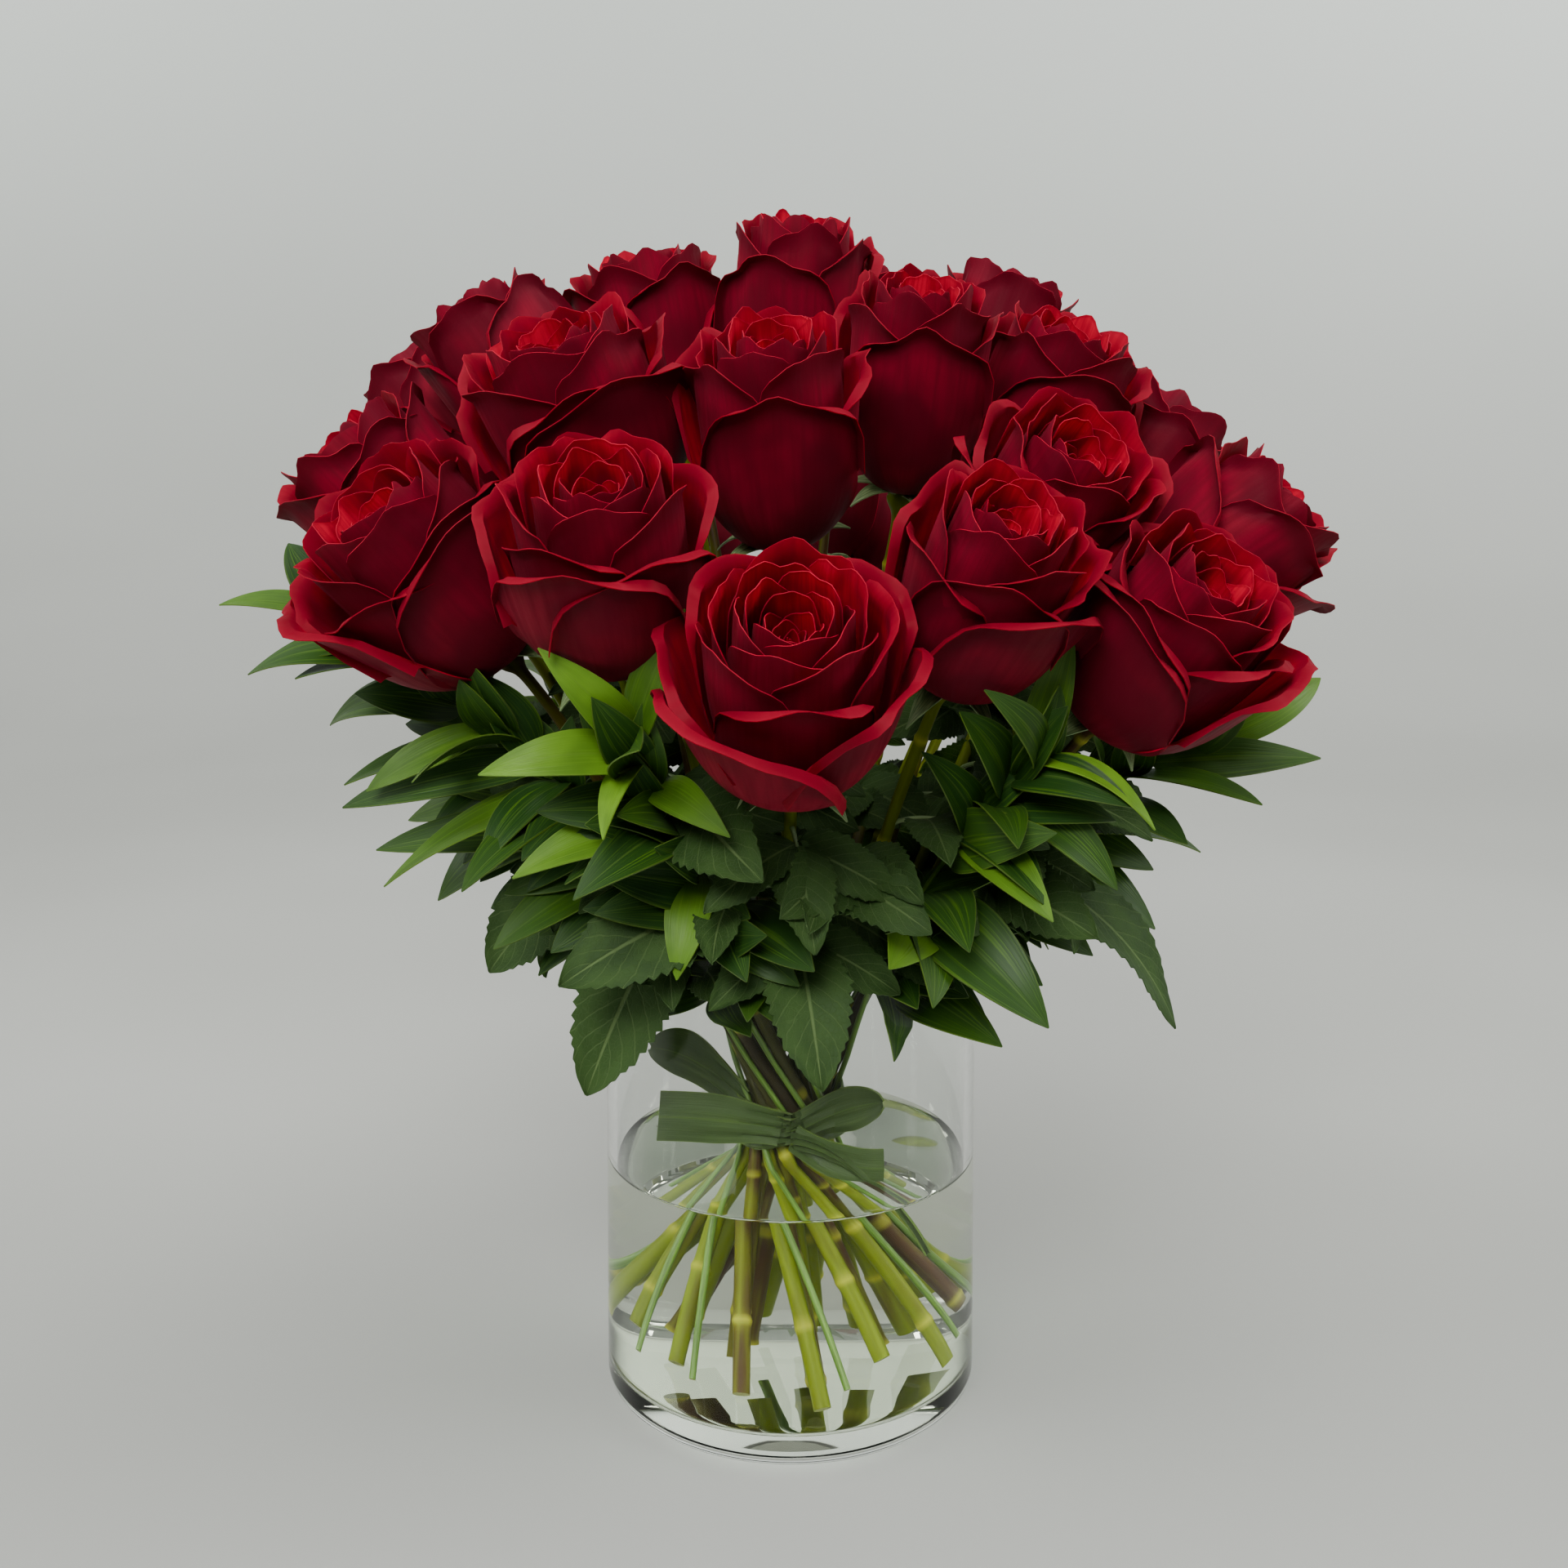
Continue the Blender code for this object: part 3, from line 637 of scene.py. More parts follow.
def turned(name, profile, segments, look, node):
    """A closed solid of revolution; the profile starts and ends on the axis."""
    body = np.array(profile[1:-1])
    angles = np.linspace(0, 2 * np.pi, segments, endpoint=False)
    points = np.stack(
        [np.outer(body[:, 0], np.cos(angles)), np.outer(body[:, 0], np.sin(angles)),
         np.repeat(body[:, 1:], segments, axis=1)], -1
    )
    index = np.arange(points.shape[0] * segments).reshape(-1, segments)
    around = np.roll(index, -1, axis=1)
    faces = np.stack((index[:-1], around[:-1], around[1:], index[1:]), -1).reshape(-1, 4).tolist()
    points = points.reshape(-1, 3).tolist()
    for ring, height in ((index[0][::-1], profile[0][1]), (index[-1], profile[-1][1])):
        faces += [(len(points), a, b) for a, b in zip(ring.tolist(), np.roll(ring, -1).tolist())]
        points.append((0, 0, height))
    mesh = bpy.data.meshes.new(name)
    mesh.from_pydata(points, [], faces)
    mesh.materials.append(look)
    mesh.shade_smooth()
    mesh.set_sharp_from_angle(angle=math.radians(50))
    adopt(add_object(name, mesh), node)


INNER_FILLET = 5 * MM
# The water's edge climbs the glass: distance from the wall in millimetres, and share of the climb.
MENISCUS = ((0, 1), (0.5, 0.6), (1.2, 0.25), (2.6, 0.04), (5, 0))


def build_vase(look):
    foot = 9 * MM
    inner = VASE_RADIUS - VASE_WALL
    rim = VASE_WALL / 2
    profile = [(0, 0), (VASE_RADIUS * 0.5, 0)]
    profile += arc((VASE_RADIUS - foot, foot), foot, -90, 0, 12)
    profile += [(VASE_RADIUS, VASE_HEIGHT * s) for s in (0.2, 0.5, 0.8)]
    profile += arc((VASE_RADIUS - rim, VASE_HEIGHT - rim), rim, 0, 180, 10)
    profile += [(inner, VASE_HEIGHT * s) for s in (0.8, 0.5, 0.2)]
    profile += arc((inner - INNER_FILLET, VASE_FLOOR + INNER_FILLET), INNER_FILLET, 0, -90, 8)
    profile += [(inner * 0.5, VASE_FLOOR), (0, VASE_FLOOR)]
    turned("vase_glass", profile, 128, look, "vase")


def build_water(look):
    """The water reaches a hair into the glass, so that no film of air is seen between them."""
    overlap = 0.15 * MM
    radius = VASE_RADIUS - VASE_WALL + overlap
    low = VASE_FLOOR - overlap
    climb = 1.6 * MM
    profile = [(0, low), (radius * 0.5, low)]
    profile += arc((radius - INNER_FILLET, low + INNER_FILLET), INNER_FILLET, -90, 0, 8)
    profile += [(radius, WATER_LEVEL * 0.6)]
    profile += [(radius - away * MM, WATER_LEVEL + climb * share) for away, share in MENISCUS]
    profile += [(radius * 0.5, WATER_LEVEL), (0, WATER_LEVEL)]
    turned("water_body", profile, 128, look, "water")


# ---------- Blooms ----------
PETALS = 31
PETAL_ROWS = 19
PETAL_COLUMNS = 19
GOLDEN = math.radians(137.5)
# In millimetres: the heart's radius, the room left for rolled lips, and how far an opened petal leans out
# and comes down.
HEART_RADIUS = 1.6
LIP_ROOM = 6.5
OPENED_REACH = 17
OPENED_DROP = 24
# Petals past this layer may open a little by themselves; those of OPEN_PETALS lie outside all the others.
LOOSE_LAYER = 0.87
LOOSE_MOST = 0.35
OPEN_LAYER = 1.06
# Material slots of a bloom.
OUTSIDE, INSIDE = range(2)


def petal_profile(rose, layer, opened, chance):
    """Four control points of a petal's middle line, as distance from the axis and height."""
    openness = rose.openness
    body = HEART_RADIUS + (rose.width / 2 - LIP_ROOM - HEART_RADIUS) * layer**0.92
    body *= 1 + 0.01 * (chance.random() - 0.5)
    height = 0.83 - 0.07 * openness + (0.14 + 0.05 * openness) * smooth(layer / 0.5)
    height -= (0.06 + 0.05 * openness) * smooth((layer - 0.72) / 0.28)
    height *= rose.length / MM * (1 + 0.035 * (chance.random() - 0.5))
    height -= opened * OPENED_DROP
    flare = 0.36 * layer**1.1 + 0.14 * openness * layer**2
    tip = body * (0.7 + flare + 0.02 * (chance.random() - 0.5)) + opened * OPENED_REACH
    foot = 9 - 8 * layer**0.5
    shoulder = body * (1.1 - 0.06 * layer + 0.1 * opened)
    belly = body * (1.02 + 0.12 * layer)
    return np.array(((1.5 + 3.5 * layer, foot), (belly, foot + 3), (shoulder, height * 0.62), (tip, height)))


def petal_outline(layer, across, chance):
    """Share of the petal's length reached at each place across it, and the wave and flutter of its edge."""
    edge = np.abs(across)
    outline = 1 - (0.05 + 0.11 * layer + 0.06 * chance.random()) * edge**2.4
    outline = outline - (0.05 + 0.13 * layer) * np.clip((edge - 0.7) / 0.3, 0, 1) ** 2.2
    outline = outline + (0.012 + 0.03 * layer * chance.random()) * np.exp(-((across / 0.2) ** 2))
    wave = np.sin(across * (5 + 4 * chance.random()) + 6.3 * chance.random())
    flutter = np.sin(across * (11 + 6 * chance.random()) + 6.3 * chance.random())
    outline = outline + (0.006 + 0.012 * layer) * wave + 0.006 * layer * flutter
    return outline, wave, flutter


def petal_grid(rose, layer, turn, chance, opened):
    """One petal in the bloom's own space, its hip at the origin. layer runs from 0, the heart, to 1."""
    across = np.linspace(-1, 1, PETAL_COLUMNS)[None, :]
    steps = np.linspace(0, 1, PETAL_ROWS)[:, None] ** 0.85
    profile = petal_profile(rose, layer, opened, chance)
    outline, wave, flutter = petal_outline(layer, across, chance)
    edge = np.abs(across)
    reach = steps * outline
    middle = (reach[1:] + reach[:-1]) / 2
    span = np.diff(reach, axis=0)
    outer = smooth((layer - 0.45) / 0.55)
    covered = 1 - smooth((layer - 0.935) / 0.04)
    free = 1 - covered * smooth((edge - 0.5) / 0.5)

    # The lip rolls outward, most in the middle and only where no other petal covers it.
    lip = 1.2 + 1.2 * layer + (1.1 + 1.2 * rose.openness) * outer * (0.5 + 0.9 * chance.random())
    margin = (outline - middle) * (rose.length / MM) / (lip + 9 * opened)
    uneven = 1 + 1.1 * (chance.random() - 0.5) * across + 0.22 * wave
    most = (0.95 + 0.5 * rose.openness) * outer * (0.6 + 0.7 * chance.random())
    most += 0.3 + 0.45 * layer - 0.6 * opened
    roll = most * (0.5 + 0.5 * smooth(edge / 0.55)) * (0.1 + 0.9 * free) * uneven
    roll = roll * smooth(1 - margin)
    out, rise = (bezier_slope(*axis, middle) for axis in profile.T)
    none = np.zeros_like(across)
    radial = np.vstack([none, np.cumsum((out * np.cos(roll) + rise * np.sin(roll)) * span, 0)])
    upward = np.vstack([none, np.cumsum((rise * np.cos(roll) - out * np.sin(roll)) * span, 0)])
    radial = radial + profile[0, 0]
    upward = upward + profile[0, 1]

    # The petal wraps round the axis; its sides tuck under the next petal or, on the last ones, spring free.
    wrap = (1.08 + 0.95 * max(0, 1 - layer) ** 2.2) * (1 + 0.1 * (chance.random() - 0.5))
    breadth = 0.3 + 0.7 * np.sin(np.minimum(1, steps / 0.55) * np.pi / 2)
    angle = turn + across * wrap * breadth * (1 - 0.12 * layer * steps**6)
    spring = (2.6 * (1 - covered) - 0.8 * covered) * smooth((edge - 0.55) / 0.45)
    spring = spring * smooth((steps - 0.4) / 0.4) + 0.25 * across
    ripple = ((0.1 + 0.8 * layer) * wave * steps**4 + 0.55 * layer * flutter * steps**8) * free
    radial = np.maximum(0.5, radial + spring * np.minimum(1, steps * 2.5) + ripple)
    return np.stack([radial * np.cos(angle), radial * np.sin(angle), upward], -1), across, steps


def petals_of(rose, chance):
    """Layer, direction and opening of each petal, and how far the heart sits off the bloom's axis."""
    outermost = math.radians(OUTERMOST_PETALS.get(rose.number, 360 * chance.random()))
    aside = np.array((chance.random() - 0.5, chance.random() - 0.5)) * 5
    petals = []
    for k in range(PETALS):
        layer = k / (PETALS - 1)
        opened = LOOSE_MOST * chance.random() ** 2 if layer > LOOSE_LAYER else 0.0
        petals.append((layer, outermost - (PETALS - 1 - k) * GOLDEN, opened))
    for number, turn, opened in OPEN_PETALS:
        if number == rose.number:
            petals.append((OPEN_LAYER, math.radians(turn), opened))
    return petals, aside


def build_bloom(rose, looks):
    chance = random.Random(rose.number * 7 + 3)
    first, second, third = frame_of(rose.axis)
    petals, aside = petals_of(rose, chance)
    shell = Shell()
    for layer, turn, opened in petals:
        grid, across, steps = petal_grid(rose, layer, turn, chance, opened)
        grid[..., :2] += aside * (1 - layer) * np.minimum(1, steps * 2)[..., None]
        right, up, forward = np.split(grid * MM, 3, axis=-1)
        placed = np.array(rose.hip) + right * first + up * second + forward * third
        thickness = (0.8 - 0.45 * steps) * MM
        shell.sheet(placed, across, steps, (layer, chance.random()), thickness, OUTSIDE, INSIDE)
    shell.finish(f"bloom_{rose.number:02d}", looks, f"rose_{rose.number:02d}_bloom")


# ---------- Leaves and stems ----------
def leaf_grid(base, tip, looks_to, width, rows, columns, blunt, sharp, arch, fold, twist):
    """A leaf's sheet from its base to its tip, its upper face turned towards looks_to.

    blunt and sharp shape its outline at the two ends; arch, fold and twist bend it. The last value holds
    its half widths and the directions across and out of it.
    """
    base, tip = np.array(base), np.array(tip)
    along = tip - base
    length = np.linalg.norm(along)
    along /= length
    normal = np.array(looks_to) - along * np.dot(looks_to, along)
    normal /= np.linalg.norm(normal)
    side = np.cross(normal, along)
    share = np.linspace(0, 1, rows)[:, None]
    across = np.linspace(-1, 1, columns)[None, :]
    peak = blunt / (blunt + sharp)
    half = share**blunt * (1 - share) ** sharp / (peak**blunt * (1 - peak) ** sharp) * width / 2
    half = np.maximum(half, 0.25 * MM)
    turn = twist * (share - 0.3)
    offset = half * across
    lift = arch * length * 4 * share * (1 - share) + np.abs(offset) * fold
    level = offset * np.cos(turn)
    lift = lift + offset * np.sin(turn)
    grid = base + share[..., None] * length * along + level[..., None] * side + lift[..., None] * normal
    return grid, across, share, (half, side, normal)


RUSCUS_WIDTH = 23 * MM
ROSE_LEAF_WIDTH = 40 * MM
SIDE_LEAFLET_WIDTH = 22 * MM
LEAFLET_TEETH = 14
LEAFLET_VEINS = 8
LEAF_THICKNESS = 0.5 * MM
# Material slots of a rose's stem and of a spray.
STEM, PITH, LEAF_FACE, LEAF_BACK, SEPAL = range(5)
RUSCUS_FACE, RUSCUS_BACK, TWIG, TWIG_PITH = range(4)


def face_of(base, tip, chance):
    """The way a leaf's upper face looks: up, outward, and to the front or the back of the bouquet."""
    middle = Vector((base.x + tip.x, base.y + tip.y, 0)).normalized()
    ahead = Vector((0, -0.8 if middle.y < 0.3 else 0.8, 0))
    sway = Vector((chance.random() - 0.5, chance.random() - 0.5, 0)) * 1.2
    return middle * 0.7 + ahead + Vector((0, 0, 0.6 + 0.5 * chance.random())) + sway


def add_ruscus_leaf(shell, base, tip, lightness, chance, broad):
    looks_to = face_of(base, tip, chance)
    width = min(RUSCUS_WIDTH, (tip - base).length * 0.42) * (0.9 + 0.15 * chance.random()) * broad
    arch = 0.06 + 0.12 * chance.random()
    twist = 1.6 * (chance.random() - 0.5)
    grid, across, share, _ = leaf_grid(base, tip, looks_to, width, 20, 9, 0.55, 0.85, arch, 0.2, twist)
    shell.sheet(grid, across, share, (lightness, chance.random()), LEAF_THICKNESS, RUSCUS_FACE, RUSCUS_BACK)


def add_rose_leaflet(shell, base, tip, width, lightness, chance):
    """A leaflet with a saw edge, puckered between its side veins."""
    looks_to = face_of(base, tip, chance)
    rows, columns = (57, 11) if width > 30 * MM else (43, 7)
    twist = 0.5 * (chance.random() - 0.5)
    grid, across, share, (half, side, normal) = leaf_grid(
        base, tip, looks_to, width, rows, columns, 0.46, 0.82, 0.10, 0.16, twist
    )
    edge = np.abs(across)
    saw = 1 - (share * LEAFLET_TEETH) % 1
    notch = 0.14 * saw * edge**5 * smooth(share * 8) * smooth((1 - share) * 5)
    grid = grid - (half * across * notch)[..., None] * side
    rib = np.abs(np.sin(np.pi * (share * LEAFLET_VEINS - edge * 2.5))) ** 0.6 - 0.7
    pucker = 0.45 * MM * rib * np.minimum(1, edge * 4) * (1 - edge**4)
    wave = 1.3 * MM * np.sin(share * 9 + 6.3 * chance.random()) * edge**2
    grid = grid + (pucker + wave)[..., None] * normal
    shell.sheet(grid, across, share, (lightness, chance.random()), 0.4 * MM, LEAF_FACE, LEAF_BACK)


def add_rose_leaf(shell, rose, share, azimuth, reach, height, chance):
    """A leaf with a stalk, a large end leaflet and a pair of smaller ones."""
    base = rose.stem.curve(share)
    tip = place(azimuth, reach, height)
    stalk_end = base.lerp(tip, 0.3) + Vector((0, 0, 5 * MM))
    bend = base.lerp(stalk_end, 0.4) + Vector((0, 0, 3 * MM))
    stalk = [bezier(base, bend, stalk_end, stalk_end, i / 6) for i in range(7)]
    shell.bar(stalk, [(1.0 - 0.05 * i) * MM for i in range(7)], 8, chance.random(), SEPAL, SEPAL)
    width = min(ROSE_LEAF_WIDTH, (tip - stalk_end).length * 0.62)
    add_rose_leaflet(shell, stalk_end, tip, width, chance.random(), chance)
    along = (tip - stalk_end).normalized()
    level = along.cross(Vector((0, 0, 1))).normalized()
    start = base.lerp(stalk_end, 0.8)
    for sign in (-1, 1):
        small_tip = stalk_end + (along * 16 + level * sign * 36 - Vector((0, 0, 6))) * MM
        add_rose_leaflet(shell, start, small_tip, SIDE_LEAFLET_WIDTH, chance.random(), chance)


NODE_SPACING = 46 * MM
NODE_SWELL = 0.55 * MM
CUT_RADIUS = 3.2 * MM
BOUND_RADIUS = 2.5 * MM
NECK_RADIUS = 2.2 * MM
HIP_SWELL = 3.4 * MM
# Length of the straight, bound part of a stem as a share of the whole.
BOUND_SHARE = 0.3


def stem_radii(points, chance):
    """Radii of a rose stem at its points, with a swollen ring at each node and a hip at the top."""
    lengths = [0.0]
    for lower, upper in zip(points, points[1:]):
        lengths.append(lengths[-1] + (upper - lower).length)
    total = lengths[-1]
    offset = chance.random() * NODE_SPACING
    radii, swell = [], []
    for length in lengths:
        share = length / total
        radius = CUT_RADIUS + (BOUND_RADIUS - CUT_RADIUS) * min(1, share / BOUND_SHARE)
        if share > BOUND_SHARE:
            radius += (NECK_RADIUS - BOUND_RADIUS) * (share - BOUND_SHARE) / (1 - BOUND_SHARE)
        near = abs((length + offset) % NODE_SPACING - NODE_SPACING / 2)
        node = math.exp(-((near / (1.6 * MM)) ** 2))
        below_hip = total - length
        bulb = HIP_SWELL * math.exp(-(((below_hip - 4 * MM) / (5 * MM)) ** 2)) if below_hip < 16 * MM else 0
        radii.append(radius + NODE_SWELL * node + bulb)
        swell.append(node)
    return radii, swell


def add_sepals(shell, rose, chance):
    """Five narrow sepals round the hip, curled down by different amounts."""
    for k in range(5):
        turn = k * 2 * math.pi / 5 + chance.random() * 0.6
        first, second, third = (Vector(v) for v in frame_of(rose.axis, turn))
        base = rose.hip - third * 1.5 * MM + first * 3.6 * MM
        droop = (0.4 + 0.9 * chance.random()) * 14 - 8
        tip = base + first * (21 + 6 * chance.random()) * MM - third * droop * MM
        looks_to = third * 0.6 + first * 0.4
        twist = chance.random() - 0.5
        grid, across, share, _ = leaf_grid(base, tip, looks_to, 9 * MM, 14, 5, 0.42, 1.0, 0.16, 0.3, twist)
        shell.sheet(grid, across, share, (0.5, chance.random()), LEAF_THICKNESS, SEPAL, SEPAL)


def add_inner_rose_leaves(shell, rose, chance):
    """Three more leaves for the inside of the foliage: two in the middle of the stem, one low on it."""
    for low, span in ((0.36, 0.36), (0.36, 0.36), (0.2, 0.3)):
        share = low + span * chance.random()
        base = rose.stem.curve(share)
        azimuth = math.degrees(math.atan2(base.x, -base.y)) + 80 * (chance.random() - 0.5)
        reach = base.xy.length / MM + 44 + 12 * chance.random()
        height = base.z / MM - 24 * chance.random() + 8
        add_rose_leaf(shell, rose, share, azimuth, reach, height, chance)


def build_rose_stem(rose, looks):
    chance = random.Random(rose.number * 13 + 5)
    shell = Shell()
    points = rose.stem.line(60, 120)
    radii, swell = stem_radii(points, chance)
    shell.bar(points, radii, 12, chance.random(), STEM, PITH, swell)
    add_sepals(shell, rose, chance)
    for number, share, azimuth, reach, height in ROSE_LEAVES:
        if number == rose.number:
            add_rose_leaf(shell, rose, share, azimuth, reach, height, chance)
    # The front rose's stem stands clear of leaves, but for the photographed ones.
    if rose.number > 1:
        add_inner_rose_leaves(shell, rose, chance)
    shell.finish(f"stem_{rose.number:02d}", looks, f"rose_{rose.number:02d}_stem")


def add_inner_ruscus_leaves(shell, stem, facing, chance):
    """Small dark leaves inside the foliage, as painted shade there: some along the spray, some low on it,
    some rising to the blooms.
    """
    for kind in ["along"] * 12 + ["low"] * 10 + ["rising"] * 6:
        share = 0.3 + 0.65 * chance.random() if kind == "along" else 0.14 + 0.36 * chance.random()
        if kind == "rising":
            share = 0.7 + 0.28 * chance.random()
        base = stem.curve(share)
        azimuth = facing + (80 if kind == "along" else 170) * (chance.random() - 0.5)
        reach = (16 if kind == "rising" else 38) + 18 * chance.random()
        rise = 24 + 12 * chance.random() if kind == "rising" else 42 * (chance.random() - 0.6)
        tip = base + place(azimuth, reach, rise)
        # Their low lightness makes them dark: painted shade inside the foliage.
        add_ruscus_leaf(shell, base, tip, 0.4 * chance.random(), chance, 1.0)


def build_spray(name, row, looks):
    chance = random.Random(len(name) * 31 + row[0])
    stem = spray_stem(row)
    shell = Shell()
    points = stem.line(24, 48)
    radii = [(1.3 - 0.5 * i / len(points)) * MM for i in range(len(points))]
    shell.bar(points, radii, 10, chance.random(), TWIG, TWIG_PITH)
    for share, azimuth, reach, height, lightness in SPRAY_LEAVES[name]:
        broad = 1.35 if share < 0.47 else 1.3 - 0.6 * share
        add_ruscus_leaf(shell, stem.curve(share), place(azimuth, reach, height), lightness, chance, broad)
    add_inner_ruscus_leaves(shell, stem, row[1], chance)
    shell.finish(f"spray_{name}", looks, f"ruscus_{name}")


# ---------- Tie ----------
WAIST_RADIUS = 19.5 * MM
BLADE_THICKNESS = 0.8 * MM
# Turns of the blade: how far each is lifted, how its waves are swung, and its half width.
BLADE_TURNS = ((0, 0.0, 9.5), (-2, 0.7, 7.5))
# Ends of the blade: azimuth, reach and height of the start, the bend and the end, then half width at the
# start and the end, place in the pleats' wave, and whether the end is rounded.
BLADE_ENDS = (
    ((-10, 22, 111), (-52, 34, 116), (-63, 58, 118), 7, 10, 0.6, False),
    ((-70, 21, 116), (-100, 40, 134), (-86, 58, 138), 7, 9, 0.3, True),
    ((16, 22, 112), (40, 30, 120), (62, 42, 120), 6, 9, 0.2, True),
    ((2, 22, 107), (30, 38, 98), (52, 46, 98), 6, 7.5, 0.9, False),
    ((6, 22, 106), (40, 44, 106), (58, 56, 66), 4, 1.2, 0.1, False),
)


def add_blade_turn(shell, across, lift, swing, breadth):
    """One turn round the stems, gathered into the knot at the front."""
    turns = np.linspace(0, 2 * np.pi, 73)[:, None]
    front = np.exp(-((np.angle(np.exp(1j * (turns - 0.15))) / 0.55) ** 2))
    height = BINDING_HEIGHT + (lift + 2.0 * np.sin(turns + swing)) * MM
    height = height + across * breadth * MM * (1 - 0.35 * front)
    gather = (0.5 + 1.1 * front) * np.cos(across * 13 + 3 * np.sin(turns * 5))
    radius = WAIST_RADIUS + (1.0 + gather + 1.2 * across**2 - lift * 0.5) * MM
    grid = np.stack([radius * np.sin(turns), -radius * np.cos(turns), height], -1)
    shell.sheet(grid, across, turns / 6.28, (0.5, 0.3 + lift), BLADE_THICKNESS, 0, 0)


def add_blade_end(shell, across, start, bend, end, first_half, last_half, wave, rounded):
    """A free end: a pleated strip along a curve, cut straight or rounded."""
    steps = np.linspace(0, 1, 25)[:, None]
    a, b, c = (np.array(place(*p)) for p in (start, bend, end))
    line = a * (1 - steps) ** 2 + b * 2 * steps * (1 - steps) + c * steps**2
    along = np.gradient(line, axis=0)
    along /= np.linalg.norm(along, axis=1, keepdims=True)
    level = np.cross(along, (0, 0, 1))
    level /= np.linalg.norm(level, axis=1, keepdims=True)
    wide = np.cross(level, along)
    half = (first_half + (last_half - first_half) * smooth(steps * 1.6)) * MM
    if rounded:
        half = half * np.sqrt(np.clip(1.02 - np.clip((steps - 0.55) / 0.45, 0, 1) ** 2, 0.02, 1))
    pleat = (1 - steps) * 1.2 * np.cos(across * 10) + 2.2 * (1 - across**2) * np.cos(steps * 2.5 + wave * 3)
    grid = line[:, None] + (half * across)[..., None] * wide[:, None]
    grid = grid + (pleat * MM)[..., None] * level[:, None]
    shell.sheet(grid, across, steps, (0.5, wave), BLADE_THICKNESS, 0, 0)


def build_tie(looks):
    """The leaf blade wound round the stems, with its straight-cut and rounded ends and a thin tail."""
    shell = Shell()
    across = np.linspace(-1, 1, 11)[None, :]
    for turn in BLADE_TURNS:
        add_blade_turn(shell, across, *turn)
    for blade_end in BLADE_ENDS:
        add_blade_end(shell, across, *blade_end)
    shell.finish("tie_blade", looks, "tie_leaf")


# ---------- Stage ----------
def build_stage():
    """A pale floor that sweeps up into a backdrop."""
    start, radius, half_width, below = 1.4, 1.2, 7.0, 0.4 * MM
    side = [(-6.0, 0.0), *arc((start, radius), radius, -90, 0, 15), (start + radius, 6.0)]
    points = [(x, y, z - below) for y, z in side for x in (-half_width, half_width)]
    faces = [(2 * i, 2 * i + 1, 2 * i + 3, 2 * i + 2) for i in range(len(side) - 1)]
    mesh = bpy.data.meshes.new("floor")
    mesh.from_pydata(points, [], faces)
    mesh.materials.append(backdrop_look())
    mesh.shade_smooth()
    floor = add_object("floor", mesh)


def add_area(name, location, target, size, power, spread):
    data = bpy.data.lights.new(name, "AREA")
    data.shape = "RECTANGLE"
    data.size, data.size_y = size
    data.energy = power
    data.spread = math.radians(spread)
    lamp = add_object(name, data)
    lamp.location = location
    lamp.rotation_euler = (Vector(target) - Vector(location)).to_track_quat("-Z", "Y").to_euler()


def build_lights():
    world = bpy.data.worlds.new("soft_room")
    world.use_nodes = True
    world.node_tree.nodes["Background"].inputs["Color"].default_value = (0.93, 0.97, 0.96, 1)
    world.node_tree.nodes["Background"].inputs["Strength"].default_value = 0.22
    bpy.context.scene.world = world
    add_area("top_softbox", (0.1, -0.2, 1.7), (0, 0, 0.3), (1.3, 1.1), 11, 120)
    add_area("front_softbox", (-0.3, -1.35, 1.3), (0, 0, 0.33), (0.9, 0.7), 6.0, 70)
    add_area("left_strip", (-0.9, -0.45, 0.4), (0, 0, 0.15), (0.05, 0.9), 0.9, 150)
    add_area("right_strip", (0.95, -0.35, 0.4), (0, 0, 0.15), (0.04, 0.9), 0.7, 150)
    add_area("left_wash", (-2.4, 0.2, 1.9), (-0.6, 2.6, 0.8), (1.6, 1.6), 64, 150)
    add_area("right_wash", (2.4, 0.2, 1.9), (0.6, 2.6, 1.0), (1.6, 1.6), 84, 150)


def build_camera():
    data = bpy.data.cameras.new("photo_view")
    data.sensor_width = 36
    data.lens = 41.1
    data.shift_y = -0.1667
    camera = add_object("photo_view", data)
    camera.location = (-0.0026, -0.722, 0.390)
    camera.rotation_euler = (math.radians(90 - 3.07), 0, 0)
    bpy.context.scene.camera = camera


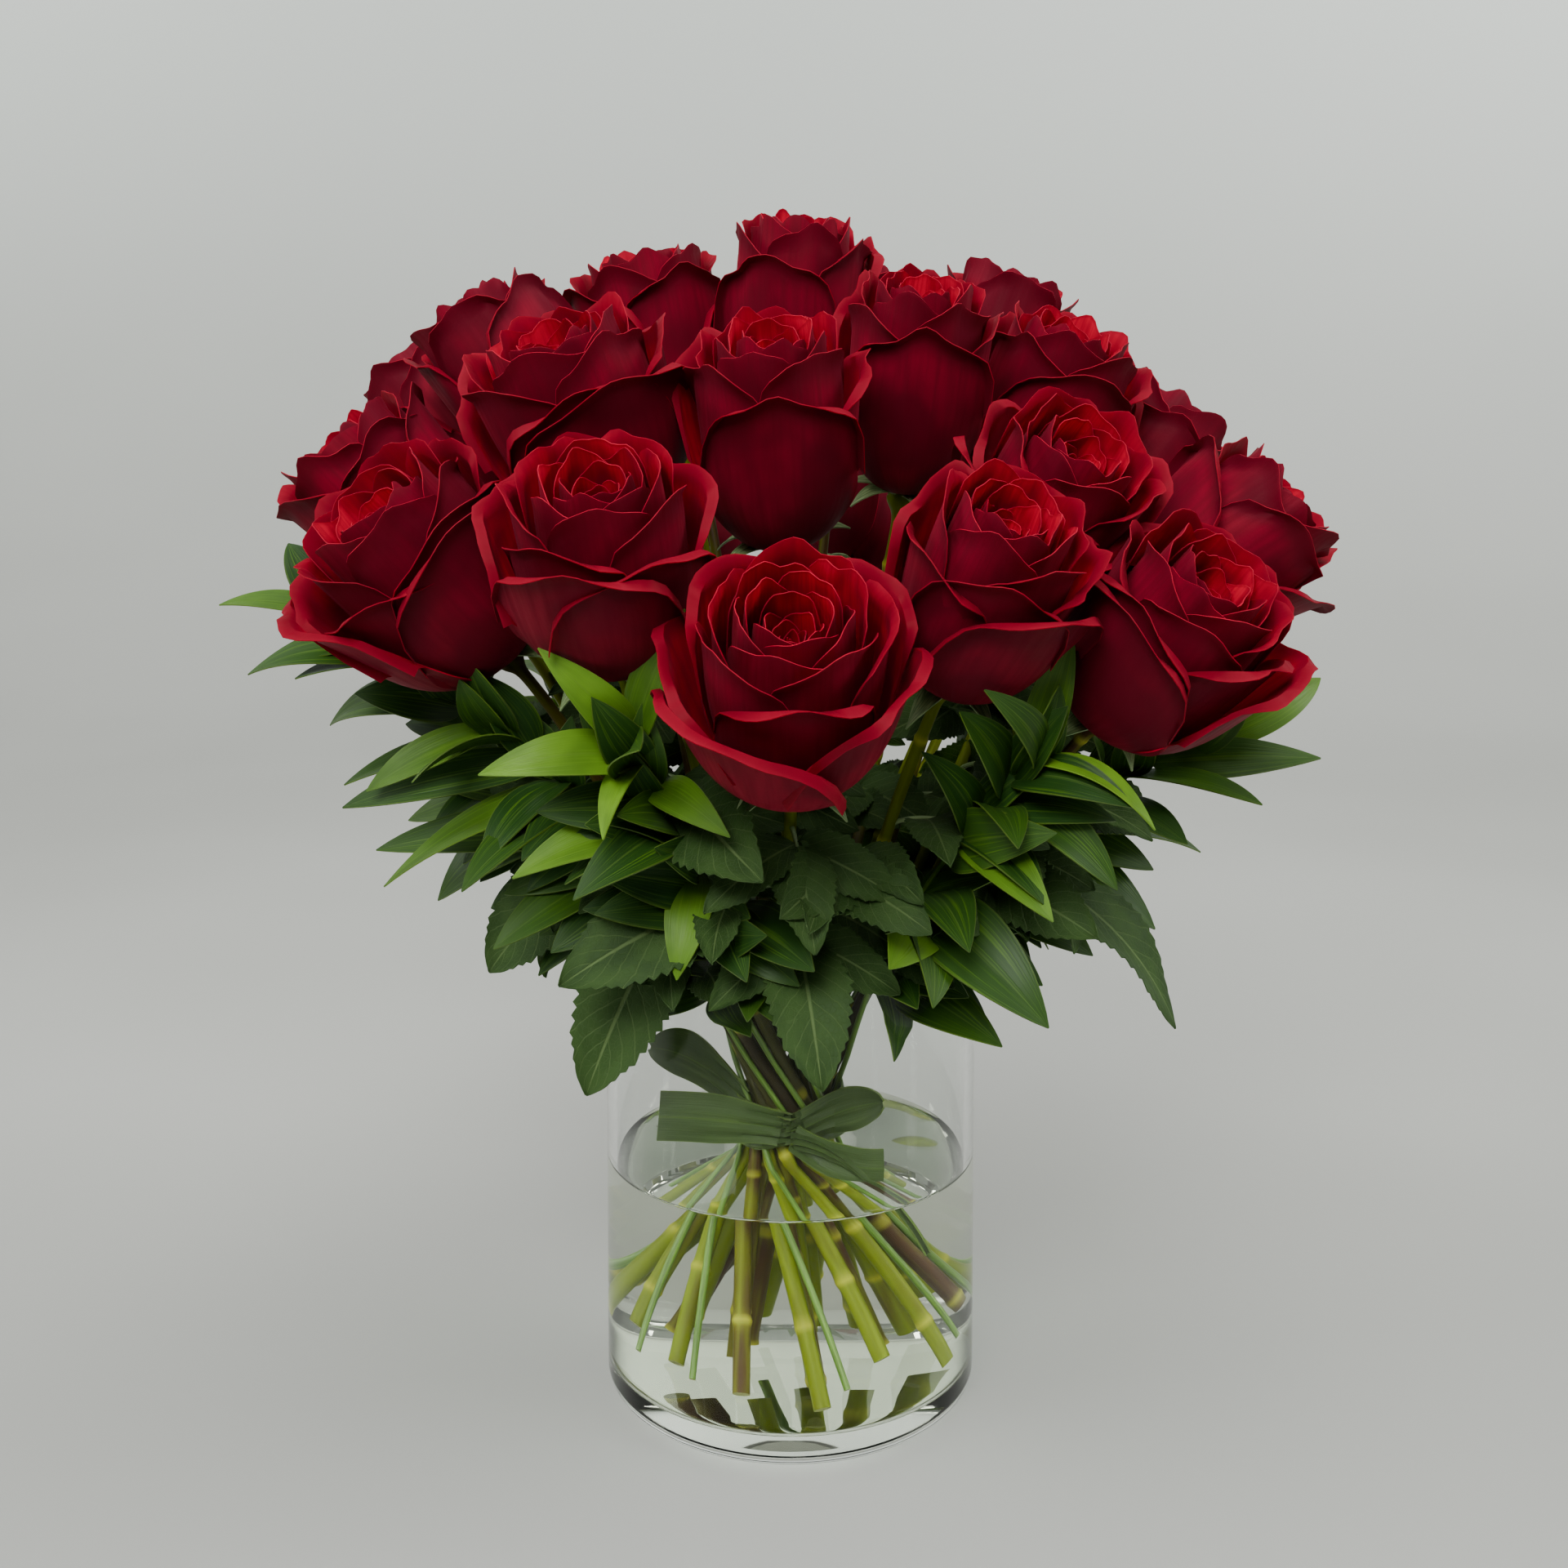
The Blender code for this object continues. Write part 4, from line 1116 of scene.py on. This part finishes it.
def main():
    build_camera()
    build_stage()
    build_lights()
    glass = clear_look("clear_glass", (0.975, 0.99, 0.975), 1.5, (0.93, 0.95, 0.94))
    water = clear_look("clear_water", (0.95, 0.975, 0.87), 1.333, (0.95, 0.97, 0.96))
    # The third colour of each set is a painted highlight, for the thin pale line along the petals' edges.
    outside_reds = ((0.23, 0.003, 0.019), (0.1, 0.0015, 0.01), (0.17, 0.004, 0.017))
    inside_reds = ((0.98, 0.001, 0.05), (0.22, 0.002, 0.015), (0.28, 0.005, 0.022))
    petals = (
        petal_look("petal_outside", *outside_reds, sheen=0.05, glow=0.12),
        petal_look("petal_inside", *inside_reds, sheen=0.02, glow=0.28),
    )
    stems = (
        stem_look("stem_green", (0.115, 0.15, 0.001), (0.075, 0.05, 0.008), 0.3),
        stem_look("stem_brown", (0.1, 0.105, 0.002), (0.055, 0.026, 0.01), 0.85),
    )
    pith = plain_plant_look("stem_pith", (0.3, 0.33, 0.08), (0.5, 0.5, 0.2), 0.6)
    sepal = plain_plant_look("sepal_green", (0.1, 0.18, 0.05), (0.3, 0.4, 0.17), 0.5)
    face_greens = ((0.01, 0.034, 0.004), (0.036, 0.09, 0.009), (0.12, 0.19, 0.045))
    back_greens = ((0.02, 0.05, 0.01), (0.042, 0.088, 0.02), (0.1, 0.16, 0.05))
    leaves = (
        rose_leaf_look("rose_leaf_face", *face_greens, roughness=0.34),
        rose_leaf_look("rose_leaf_back", *back_greens, roughness=0.6),
    )
    # Each ruscus look runs from dark to bright by the leaf's lightness, which is partly painted light and
    # shade.
    ruscus = (
        ruscus_look("ruscus_face", (0.005, 0.024, 0.002), (0.15, 0.34, 0.003), 0.3, 0.4),
        ruscus_look("ruscus_back", (0.014, 0.05, 0.006), (0.16, 0.34, 0.015), 0.45, 0.25),
    )
    twig = plain_plant_look("ruscus_stem", (0.06, 0.13, 0.01), (0.12, 0.24, 0.02), 0.4)
    blade = ruscus_look("tie_blade", (0.03, 0.06, 0.014), (0.12, 0.18, 0.05), 0.42, 0.2)
    build_vase(glass)
    build_water(water)
    build_tie([blade])
    for number, row in enumerate(ROSES, 1):
        rose = Rose(number, row)
        build_bloom(rose, petals)
        build_rose_stem(rose, (stems[number % 3 == 0], pith, *leaves, sepal))
    for name, row in SPRAYS.items():
        build_spray(name, row, (*ruscus, twig, pith))


main()
